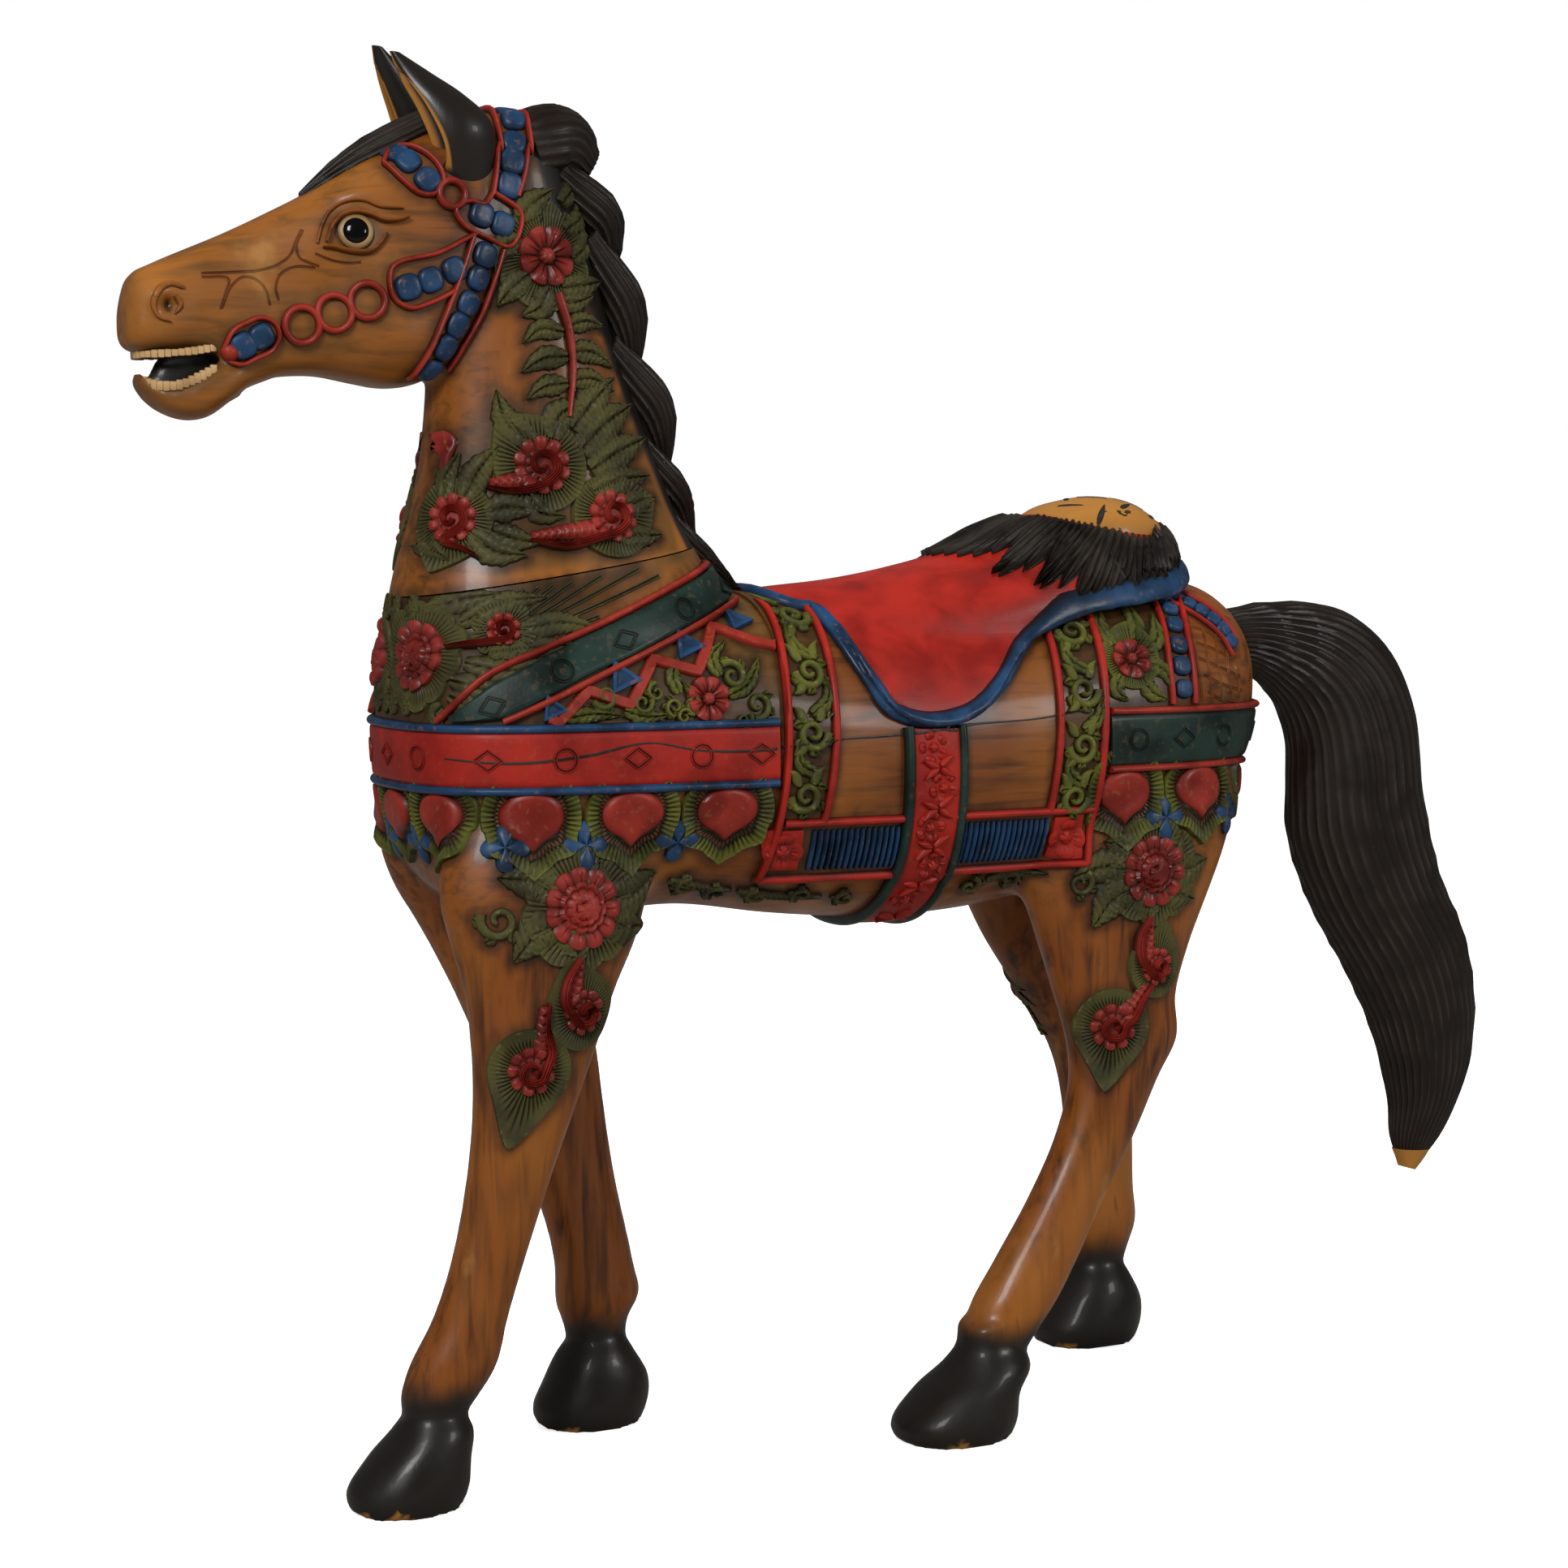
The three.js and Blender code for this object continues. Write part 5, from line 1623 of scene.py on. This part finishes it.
# the tip and the width of each leaf round a rosette
SHOULDER = [
    (-322, 518, 40), (-312, 450, 40), (-176, 516, 46), (-190, 472, 40), (-256, 446, 42), (-236, 528, 40),
]
HAUNCH = [
    (222, 492, 36), (240, 446, 40), (296, 444, 40), (346, 466, 40), (360, 502, 40), (250, 522, 34),
    (330, 528, 30),
]
for side in SIDES:
    for cx, cz, radius, back, tips in ((-253, 491, 34, 14, SHOULDER), (299, 494, 32, 24, HAUNCH)):
        shift = back if side == RIGHT else 0  # the right legs stand further back
        cx += shift
        at = spot_at(trunk_wood, cx, cz, side, 12)
        disc(greens, trunk_wood, at, radius * 1.55, 4, rayed(62, 0.9), petalled(9, 0.12), 186, 7)
        for tx, tz, widest in tips:
            tx += shift
            start = (cx + (tx - cx) * 0.35, cz + (tz - cz) * 0.35)
            middle = ((cx + tx) / 2 + (tz - cz) * 0.08, (cz + tz) / 2 - (tx - cx) * 0.08)
            vein = trace(trunk_wood, [start, middle, (tx, tz)], side, 2.2)
            leaf(greens, trunk_wood, vein, widest, 5, 5, 3.6)
        flower(roses, trunk_wood, at, radius, 11, rosette, 9)
    for x, z, radius, hand, start in (
        (-322 if side == LEFT else -295, 484, 16, 1, 160), (-136, 500, 12, 1, 90), (-104, 492, 11, -1, 250),
        (-66, 487, 11, 1, 90), (-28, 487, 10, -1, 250), (14, 482, 10, 1, 90), (132, 487, 11, -1, 90),
        (172, 492, 11, 1, 250), (229, 486, 12, -1, 60),
    ):
        scroll(greens, trunk_wood, spot_at(trunk_wood, x, z, side), radius, hand, start)
    paths = [
        [(-156, 506), (-120, 497), (-92, 494)], [(-86, 492), (-50, 486), (-8, 484)],
        [(148, 492), (170, 497), (204, 494)],
    ]
    leaves(greens, trunk_wood, paths, side, 12, 5, 5)
    # each flower's leaf with its point, reach and size, and then the flower's tail and the start of its curl
    for leg, x, z, radius, point, reach, spread, tail, start in (
        ("front", -252, 406, 19, 110, 0.5, 34, [(-8, 46), (-18, 26), (-18, 8)], 190),
        ("front", -296, 360, 20, 253, 0.98, 36, [(14, 56), (12, 36), (16, 14)], 10),
        ("hind", 304, 408, 17, 80, 0.5, 30, [(-12, 46), (-20, 28), (-18, 8)], 190),
        ("hind", 262, 356, 21, 262, 0.72, 36, [(36, 36), (26, 22), (18, 6)], 10),
    ):
        step = leg_step(leg, z) if side == RIGHT else 0
        at = facing_tail(spot_at(trunk_wood, x + step, z, side))
        disc(greens, trunk_wood, at, spread, 4.5, rayed(50, 0.86), drop(point, reach), 150, 7)
        spiral_flower(roses, trunk_wood, at, radius, tail, start, 1 if start > 90 else -1, 9, 8.5, 5)
carve("rosettes_and_leg_flowers", roses, ROSE, "body")
carve("leaves_and_belly_scrolls", greens, MOSS, "body")

# -------------------- the rump
# Behind the blanket a flower on an olive ground, a beaded strap from the saddle down to the band, a beaded
# crupper over the loins, and a net of scored lines on the bare wood.

NET = range(5)  # of the net's lines each way
reds, roses, blues, greens, lines = [], [], [], [], []
for side in SIDES:
    at = spot_at(trunk_wood, 282, 682, side)
    disc(greens, trunk_wood, at, 29, 3, rayed(56, 0.94), drop(75, 0.45, 0.7), 168, 6)
    flower(roses, trunk_wood, at, 19, 7)
    paths = [
        [(268, 694), (262, 712), (272, 732)], [(292, 698), (300, 716), (296, 736)],
        [(298, 678), (314, 672), (320, 656)], [(268, 668), (262, 656), (272, 646)],
        [(290, 664), (300, 652), (314, 646)], [(300, 690), (316, 700), (320, 720)],
    ]
    leaves(greens, trunk_wood, paths, side, 19, 4.5, 4, 4)
    front = [(336, 748), (326, 706), (321, 676), (320, 642)]
    rear = [(364, 740), (351, 706), (347, 676), (345, 642)]
    for path in (front, rear):
        lay(reds, trunk_wood, path, side, 5, 6, 5.5)
    beads(blues, trunk_wood, trace(trunk_wood, [(349, 742), (338, 701), (333, 645)], side, 2), 8.8, 5.5, 6)
    crupper = [(356, 738), (368, 731), (380, 723), (391, 714), (400, 703), (406, 690)]
    beads(blues, trunk_wood, trace(trunk_wood, crupper, side, 2), 7.6, 5, 6)
    for shift in (-9.5, 9.5):
        edge = [(x + shift * 0.62, z + shift * 0.78) for x, z in crupper]
        lay(reds, trunk_wood, edge, side, 4, 4.5, 4.5)
    level = [[(352 + 3 * k, 712 - 15 * k), (380, 704 - 15 * k), (404 + 3 * k, 690 - 13 * k)] for k in NET]
    upright = [[(360 + 13 * k, 716 - 8 * k), (355 + 13 * k, 680), (356 + 13 * k, 644)] for k in NET]
    for path in level + upright:
        scored(lines, trunk_wood, trace(trunk_wood, path, side, 6))
carve("rump_straps_red", reds, RED, "body")
carve("rump_flowers", roses, ROSE, "body")
carve("rump_beads", blues, BLUE, "body")
carve("rump_leaves", greens, GREEN, "body")
carve_wood("scored_net", lines, "body")

# -------------------- the neck's carving
# Down the side of the neck: a flower on the nape, a red stem between sprays of leaves, and three spiral
# flowers with fluted tails over a bed of big olive leaves.

roses, greens = [], []
for side in SIDES:
    for path, width in (
        ([(-268, 1052), (-256, 1064), (-236, 1078)], 26), ([(-228, 1066), (-214, 1082), (-212, 1102)], 26),
        ([(-220, 1020), (-204, 1034), (-192, 1056)], 28), ([(-232, 996), (-208, 1000), (-190, 1004)], 26),
        ([(-262, 1006), (-278, 992), (-288, 980)], 26), ([(-244, 996), (-250, 982), (-268, 972)], 26),
        ([(-268, 1036), (-284, 1026), (-290, 1008)], 24), ([(-226, 1044), (-206, 1058), (-198, 1076)], 26),
        ([(-236, 985), (-220, 985), (-200, 992)], 20),
        ([(-233, 960), (-252, 962), (-268, 950)], 20), ([(-230, 940), (-250, 938), (-270, 926)], 22),
        ([(-228, 965), (-208, 970), (-192, 966)], 20), ([(-226, 944), (-204, 944), (-184, 932)], 22),
        ([(-228, 920), (-206, 922), (-186, 912)], 20), ([(-231, 918), (-252, 914), (-266, 904)], 20),
        ([(-262, 868), (-284, 888), (-290, 912)], 30), ([(-246, 872), (-238, 892), (-214, 900)], 30),
        ([(-228, 880), (-208, 902), (-184, 924)], 36), ([(-222, 862), (-198, 884), (-166, 902)], 38),
        ([(-214, 846), (-186, 862), (-154, 874)], 34), ([(-214, 828), (-188, 838), (-156, 842)], 30),
        ([(-196, 812), (-172, 820), (-150, 824)], 28), ([(-196, 794), (-172, 792), (-150, 792)], 26),
        ([(-318, 822), (-306, 846), (-290, 866)], 30), ([(-304, 812), (-288, 816), (-262, 812)], 28),
        ([(-316, 794), (-300, 780), (-276, 776)], 30), ([(-340, 804), (-344, 786), (-332, 772)], 26),
        ([(-330, 822), (-327, 842), (-317, 860)], 24), ([(-300, 796), (-284, 790), (-264, 786)], 24),
        ([(-270, 826), (-262, 812), (-240, 808)], 22),
    ):
        leaf(greens, head_wood, trace(head_wood, path, side, 2.5), width, 5, 5, 4.6)
    at = spot_at(head_wood, -245, 1022, side)
    disc(greens, head_wood, at, 45, 3, rayed(70, 0.93), petalled(11, 0.12), 210, 8)
    flower(roses, head_wood, at, 25, 8, rise=9)
    stem = [(-236, 992), (-227, 962), (-225, 930), (-231, 890)]
    lay(roses, head_wood, stem, side, 4, lambda t: 9 - 5 * t, 7, domed, 9)
    lay(roses, head_wood, [(-331, 878), (-326, 862), (-331, 842)], side, 3, leaf_shape(17), 5, domed, 9)
    for x, z, radius, point, tail, frill in (
        (-257, 850, 24, 130, [(-46, -17), (-28, -21), (-12, -20)], 4),
        (-198, 808, 22, 20, [(-76, -17), (-48, -24), (-16, -18)], 8),
        (-327, 806, 21, 250, [(24, -30), (10, -24), (-4, -18)], 0),
    ):
        at = facing_tail(spot_at(head_wood, x, z, side))
        disc(greens, head_wood, at, radius * 1.7, 4, rayed(56, 0.9), drop(point, 0.4, 0.4), 168, 7)
        spiral_flower(roses, head_wood, at, radius, tail, -80, 1, 10, 9, frill)
carve("neck_flowers", roses, ROSE, "neck_and_head")
carve("neck_leaves", greens, MOSS, "neck_and_head")

# -------------------- the bridle
# A headstall of big blue beads between red cords, a brow band, and a cheek strap made of a beaded panel,
# three linked red rings and a beaded bit panel with a red knob at the mouth.

reds, blues = [], []
for side in SIDES:
    crown = [over(head_wood, -265, a, POLL, side) for a in np.linspace(91, 122, 9)]
    crown += trace(head_wood, [(-268, 1114), (-272, 1095), (-277, 1071)], side, 4)
    beads(blues, head_wood, crown, 11)
    for path, count in (
        ([(-313, 1058), (-294, 1051), (-275, 1044)], 2), ([(-295, 1032), (-313, 983), (-344, 923)], 6),
        ([(-371, 1109), (-356, 1091), (-339, 1072)], 3), ([(-378, 989), (-348, 999), (-318, 1012)], 3),
        ([(-508, 939), (-477, 955)], 2),
    ):
        beads(blues, head_wood, trace(head_wood, path, side, 2), 11, 5.5, count)
    for lean in (-14, 12):
        top = [over(head_wood, -266 + lean, a, POLL, side) for a in np.linspace(92, 146, 10)]
        down = [(-269 + lean, 1112), (-273 + lean, 1090), (-279 + lean * 0.9, 1070)]
        strip(reds, head_wood, top + trace(head_wood, down, side, 5), 4.6, 6.5)
    cords = [
        [
            (-291, 1072), (-300, 1062), (-312, 1064), (-325, 1056), (-318, 1044), (-300, 1036),
            (-276, 1029), (-266, 1056), (-291, 1072),
        ],
        [(-310, 1036), (-320, 1009), (-332, 980), (-347, 946), (-360, 920)],
        [(-282, 1026), (-290, 1002), (-301, 972), (-314, 948), (-323, 930)],
        [
            (-378, 1092), (-366, 1078), (-353, 1068), (-342, 1068), (-333, 1080), (-336, 1092),
            (-348, 1104), (-368, 1110), (-378, 1092),
        ],
        [(-308, 1038), (-338, 1022), (-381, 1005), (-378, 982), (-366, 976), (-348, 981), (-326, 992)],
        [
            (-513, 944), (-508, 955), (-496, 962), (-484, 966), (-474, 962), (-470, 952), (-475, 942),
            (-488, 935), (-500, 929), (-508, 932), (-513, 944),
        ],
    ]
    for cord in cords:
        lay(reds, head_wood, cord, side, 4, 4.6, 6)
    for x, z, radius in ((-452, 961, 14), (-426, 971, 14), (-400, 981, 14), (-327, 1069, 11)):
        loop = [(radius * math.cos(a), radius * math.sin(a)) for a in around_a_turn(32)]
        places = sketch(head_wood, spot_at(head_wood, x, z, side), loop)
        strip(reds, head_wood, places, 6.4, 6.5, domed, 9, closed=True)
    knob = lambda out, angle: math.sqrt(1 - 0.8 * out**2)
    disc(reds, head_wood, spot_at(head_wood, -509, 939, side), 7.5, 9, knob, None, 24, 6)
carve("bridle_red", reds, BRICK, "neck_and_head")
carve("bridle_beads", blues, BLUE, "neck_and_head")

# -------------------- the eyes, teeth and scored lines of the face
# Each eye is a cream ball with a glossy black pupil between carved lids. Bare wooden teeth stand along the
# lips, and scored lines run from the eye down the nose.

CREAM = oil_paint("aged_cream_oil_paint", "#7a5c36", "#b0905e", rough=0.4, rub=0.0)
GLOSS, tree, shader = blank_material("glossy_black_eye_enamel", Roughness=0.1, Specular_IOR_Level=0.3)
fleck = noise(tree, add(tree, "TexCoord").outputs["Object"], (200, 200, 200), 2.0)
tree.links.new(mix(tree, fleck, linear("#030303"), linear("#080707")), shader.inputs["Base Color"])
TEETH = oil_paint("bare_whittled_wood", "#80592f", "#c4a070", rough=0.6, rub=0.0)

UPPER_LID = [
    (-431, 1027), (-424, 1042), (-415, 1050), (-405, 1053), (-394, 1051), (-384, 1046), (-374, 1046),
    (-364, 1049),
]
LOWER_LID = [
    (-434, 1023), (-426, 1023), (-417, 1021), (-406, 1019.5), (-395, 1021), (-388, 1027), (-382, 1036),
]
BROW = [(-438, 1026), (-433, 1041), (-424, 1054), (-412, 1061), (-399, 1062), (-386, 1057), (-368, 1056)]
eyeball = lambda out, angle: math.sqrt(1 - 0.85 * out**2)
bulge = lambda out, angle: 0.35 + 0.65 * math.sqrt(1 - 0.9 * out**2)
ball, pupil, lids, lines, teeth = [], [], [], [], []
for side in SIDES:
    at = spot_at(head_wood, -406, 1036, side)
    disc(ball, head_wood, at, 14.5, 7, eyeball, None, 48, 9)
    disc(pupil, head_wood, at, 10.3, 10, bulge, None, 44, 9)
    for path, width, rise in ((UPPER_LID, 4.8, 7.5), (LOWER_LID, 4.4, 6.5), (BROW, 3.4, 3)):
        ends_thin = lambda t: 1.5 + (width - 1.5) * math.sin(math.pi * t) ** 0.5
        lay(lids, head_wood, path, side, 3, ends_thin, rise, domed, 9)
    for path in (
        [(-440, 1018), (-427, 1013), (-414, 1011), (-404, 1012)],
        [(-531, 1000), (-501, 1002), (-483, 1004), (-469, 1009), (-459, 1017), (-455, 1026), (-449, 1037)],
        [(-448, 1037), (-454, 1024), (-452, 1014), (-446, 1011), (-437, 1008)],
        [(-531, 997), (-509, 995), (-512, 986), (-517, 972)],
        [(-516, 973), (-507, 991), (-498, 998), (-487, 996), (-481, 990), (-477, 976)],
        [(-470, 980), (-472, 990), (-468, 1001), (-457, 1007), (-440, 1007)],
    ):
        scored(lines, head_wood, trace(head_wood, path, side, 3), 2.4, 0.6)
    nostril = [(-546, 988), (-556, 991), (-567, 985), (-571, 975), (-566, 964), (-557, 961)]
    for path, width in ((nostril, 5), ([(-553, 982), (-549, 974), (-554, 967)], 4)):
        lay(lids, head_wood, path, side, 2, leaf_shape(width), 3)


def tooth(at, way, wide, tall, thick):
    """A whittled block whose front faces square to its row."""
    turn = around_a_turn(16)
    across, deep = [np.sign(f) * np.abs(f) ** 0.5 for f in (np.cos(turn), np.sin(turn))]
    along = np.array([*way, 0]) / np.hypot(*way)
    out = np.array([along[1], -along[0], 0])
    shells = []
    for z, size in ((-0.5, 0.6), (-0.42, 0.9), (0.3, 1.0), (0.5, 0.9)):
        shell = np.outer(across, along) * wide / 2 + np.outer(deep, out) * thick / 2
        shells.append(np.array(at) + shell * size + np.array([0, 0, z * tall]))
    points, faces = skin(shells)
    # the ends of each tooth, where it meets the lip, are low in crest and take painted shade
    return points, faces, np.repeat([0.5, 0.8, 1.0, 0.35], 16)


UPPER = [
    (-521, -24.5, 942), (-534, -25.5, 939.5), (-550, -25.5, 937.5), (-563, -22.5, 936.5),
    (-573, -15, 936), (-577.5, 0, 936),
]
LOWER = [
    (-521, -25.5, 925), (-536, -26.5, 917), (-552, -25.5, 911.5), (-564, -21, 911.5), (-572, -12, 914),
    (-575, 0, 916),
]
for row, tall in ((UPPER, 6), (LOWER, 8)):
    whole = eased([*row, *[(x, -y, z) for x, y, z in row[-2::-1]]], 5.2)
    for here, way in zip(whole, np.gradient(whole[:, :2], axis=0)):
        uneven = math.sin(here[1] * 2.3 + here[0])
        teeth.append(tooth(here, way, 5.6, tall + 0.6 * uneven, 4.4 + 0.5 * uneven))
carve("eyeballs", ball, CREAM, "neck_and_head")
carve("pupils", pupil, GLOSS, "neck_and_head")
carve("teeth", teeth, TEETH, "neck_and_head")
carve_wood("lids_and_scored_lines", lids + lines, "neck_and_head")

# -------------------- the crack, and the wax and shade
# The trunk has dried and opened along a glue line on its left; the dark of its gap is painted shade, laid on
# as a thin strip of black paint. Dark wax and painted shade darken the wood beside the carving.

CRACK = [
    (-352, 613), (-312, 610), (-247, 615), (-191, 624), (-150, 617), (-90, 615), (-43, 620), (43, 624),
    (107, 630), (185, 634), (244, 643),
]


def carvings():
    """Every painted piece so far."""
    return [piece for piece in bpy.data.objects if piece.type == "MESH" and "crest" in piece.data.attributes]


outer = surface(body, blanket, *[p for p in carvings() if p.name.startswith(("bands", "blanket", "saddle"))])
crack_shade = []
gape = lambda t: 1.3 + 1.1 * abs(math.sin(11 * t))
# the gap's dark is painted shade: a thin raised strip of black paint along the crack
lay(crack_shade, outer, CRACK, LEFT, 4, gape, 0.5, flat_topped, 5, root=2)
carve("drying_crack", crack_shade, BLACK, "body")


def shade_and_wax_beside(piece, laid):
    """Darkens the wood near carving that is laid on it: dark wax and painted shade where the carving meets
    the wood.
    """
    spots = np.vstack([points_of(carving)[::2] for carving in laid])
    near = KDTree(len(spots))
    for index, spot_there in enumerate(spots):
        near.insert(spot_there, index)
    near.balance()
    away = np.array([near.find(point)[2] for point in points_of(piece)])
    layer = piece.data.attributes["grime"].data
    old = np.empty(len(layer), np.float32)
    layer.foreach_get("value", old)
    layer.foreach_set("value", np.maximum(old, 0.9 * (1 - ease_in(away, 2, 12))).astype(np.float32))


WITHOUT_SHADE_AND_WAX = ("saddle", "mane_and_forelock", "tail_hair", "drying_crack", "roll_dashes")
shaded_round = [piece for piece in carvings() if piece.name not in WITHOUT_SHADE_AND_WAX]
for wood_piece in (body, blanket, head):
    shade_and_wax_beside(wood_piece, shaded_round)
